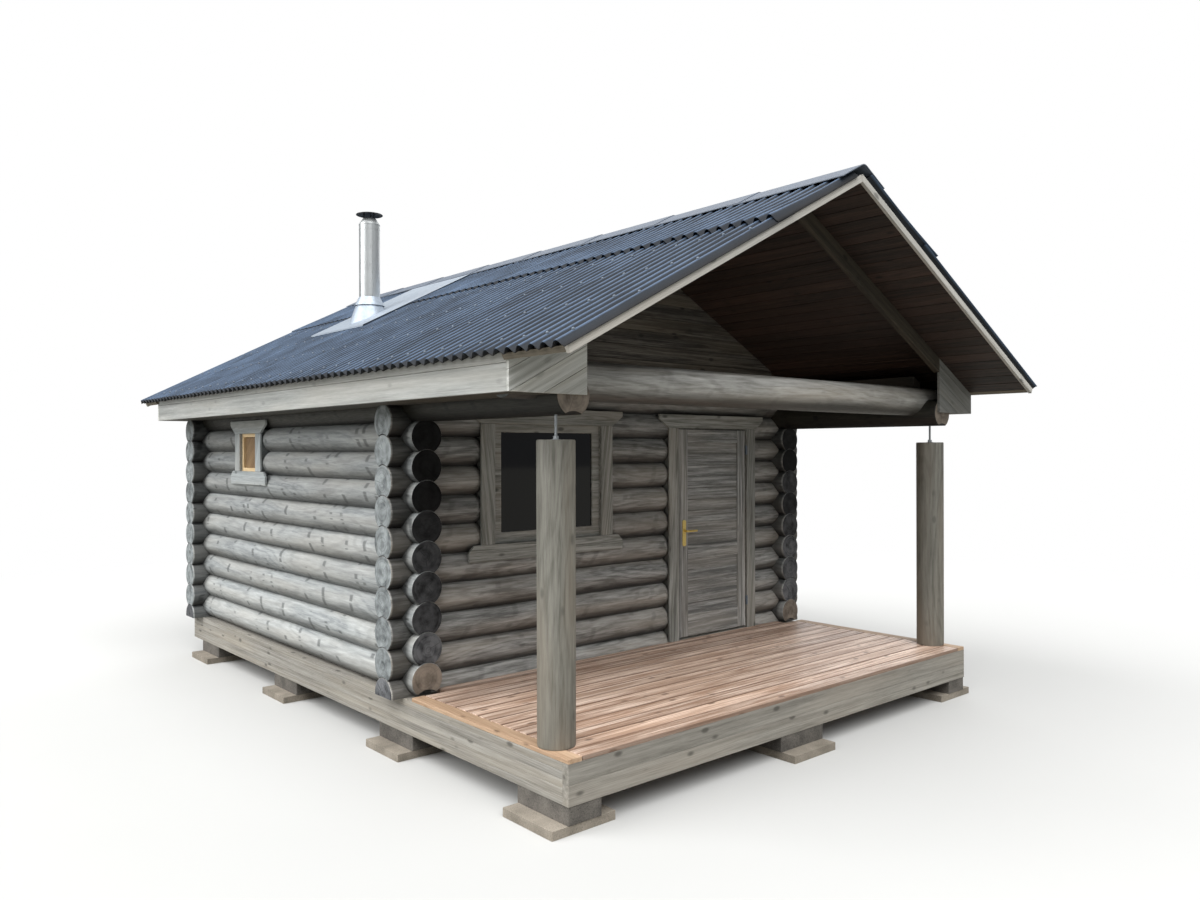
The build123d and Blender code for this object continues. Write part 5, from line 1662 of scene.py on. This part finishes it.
def light_world(scene):
    """A dim even sky for the light, and plain white where the camera looks past the floor."""
    world = bpy.data.worlds.new("soft daylight")
    scene.world = world
    world.use_nodes = True
    world.node_tree.nodes.clear()
    node = partial(add_node, world.node_tree)
    sky = node("ShaderNodeBackground", {"Color": tone("#eef1f5"), "Strength": 0.3})
    white = node("ShaderNodeBackground", {"Color": (1, 1, 1, 1), "Strength": 1.0})
    seen = node("ShaderNodeLightPath").outputs["Is Camera Ray"]
    mixed = node("ShaderNodeMixShader", {0: seen, 1: sky, 2: white})
    node("ShaderNodeOutputWorld", {"Surface": mixed})


def hang_lamps(scene):
    """Wide soft lamps: a bright sky left and in front, and dimmer ones overhead and behind."""
    lamps = (
        ("sky from the left", 3.0, 60, (0.85, -0.3, -0.65)),
        ("sky overhead", 0.8, 130, (0.05, 0.3, -1.0)),
        ("sky in front", 2.8, 50, (0.2, 0.55, -0.8)),
        ("sky behind", 0.7, 60, (-0.7, -0.45, -0.42)),
    )
    for name, strength, angle, aim in lamps:
        lamp = bpy.data.lights.new(name, "SUN")
        lamp.energy = strength
        lamp.angle = math.radians(angle)
        light = bpy.data.objects.new(name, lamp)
        light.rotation_euler = Vector(aim).to_track_quat("-Z", "Y").to_euler()
        scene.collection.objects.link(light)


def set_camera(scene):
    """The camera at the photograph's viewing angle."""
    camera = bpy.data.cameras.new("camera")
    camera.sensor_width = 36
    camera.sensor_fit = "HORIZONTAL"
    camera.lens = CAMERA_LENS
    holder = bpy.data.objects.new("camera", camera)
    aim = Vector((math.sin(CAMERA_YAW), math.cos(CAMERA_YAW), CAMERA_RISE))
    turn = aim.to_track_quat("-Z", "Y").to_matrix().to_4x4()
    holder.matrix_world = Matrix.Translation(CAMERA_PLACE) @ turn @ Matrix.Rotation(CAMERA_ROLL, 4, "Z")
    scene.collection.objects.link(holder)
    scene.camera = holder


class SAUNA_OT_stage(bpy.types.Operator):
    """Pale floor, soft daylight and the camera at the photograph's viewing angle"""

    bl_idname = "sauna.stage"
    bl_label = "Stage"

    def execute(self, context):
        scene = context.scene
        ground = Shape()
        reach, depth = 80, 0.05
        board(ground, (-reach, -reach, -depth), (reach, reach, 0), "x", random.Random(1))
        ground.build("studio_floor", ["floor"], 30)
        light_world(scene)
        hang_lamps(scene)
        set_camera(scene)
        scene.view_settings.view_transform = "Standard"
        return {"FINISHED"}


CLASSES = (
    SAUNA_colours,
    SAUNA_sizes,
    SAUNA_OT_finishes,
    SAUNA_OT_logs,
    SAUNA_OT_posts,
    SAUNA_OT_roof,
    SAUNA_OT_lining,
    SAUNA_OT_eaves,
    SAUNA_OT_deck,
    SAUNA_OT_timber,
    SAUNA_OT_door,
    SAUNA_OT_foundation,
    SAUNA_OT_metal,
    SAUNA_OT_stage,
)
STEPS = [c.bl_idname for c in CLASSES if hasattr(c, "bl_idname")]


class SAUNA_PT_panel(bpy.types.Panel):
    """The building's sizes, colours and pieces"""

    bl_idname = "SAUNA_PT_panel"
    bl_label = "Log Sauna"
    bl_space_type = "VIEW_3D"
    bl_region_type = "UI"
    bl_category = "Sauna"

    def draw(self, context):
        for group in (context.scene.sauna_sizes, context.scene.sauna_colours):
            for prop in group.bl_rna.properties:
                if prop.identifier not in ("rna_type", "name"):
                    self.layout.prop(group, prop.identifier)
        for step in STEPS:
            self.layout.operator(step)


def register():
    """Register the classes and hang their settings on the scene."""
    for item in (*CLASSES, SAUNA_PT_panel):
        bpy.utils.register_class(item)
    bpy.types.Scene.sauna_colours = bpy.props.PointerProperty(type=SAUNA_colours)
    bpy.types.Scene.sauna_sizes = bpy.props.PointerProperty(type=SAUNA_sizes)


def unregister():
    """Take the settings and the classes away again."""
    del bpy.types.Scene.sauna_sizes
    del bpy.types.Scene.sauna_colours
    for item in reversed((*CLASSES, SAUNA_PT_panel)):
        bpy.utils.unregister_class(item)


def main():
    """Build every piece in order."""
    register()
    for step in STEPS:
        group, name = step.split(".")
        getattr(getattr(bpy.ops, group), name)()
    bpy.context.view_layer.update()


if __name__ == "__main__":
    main()
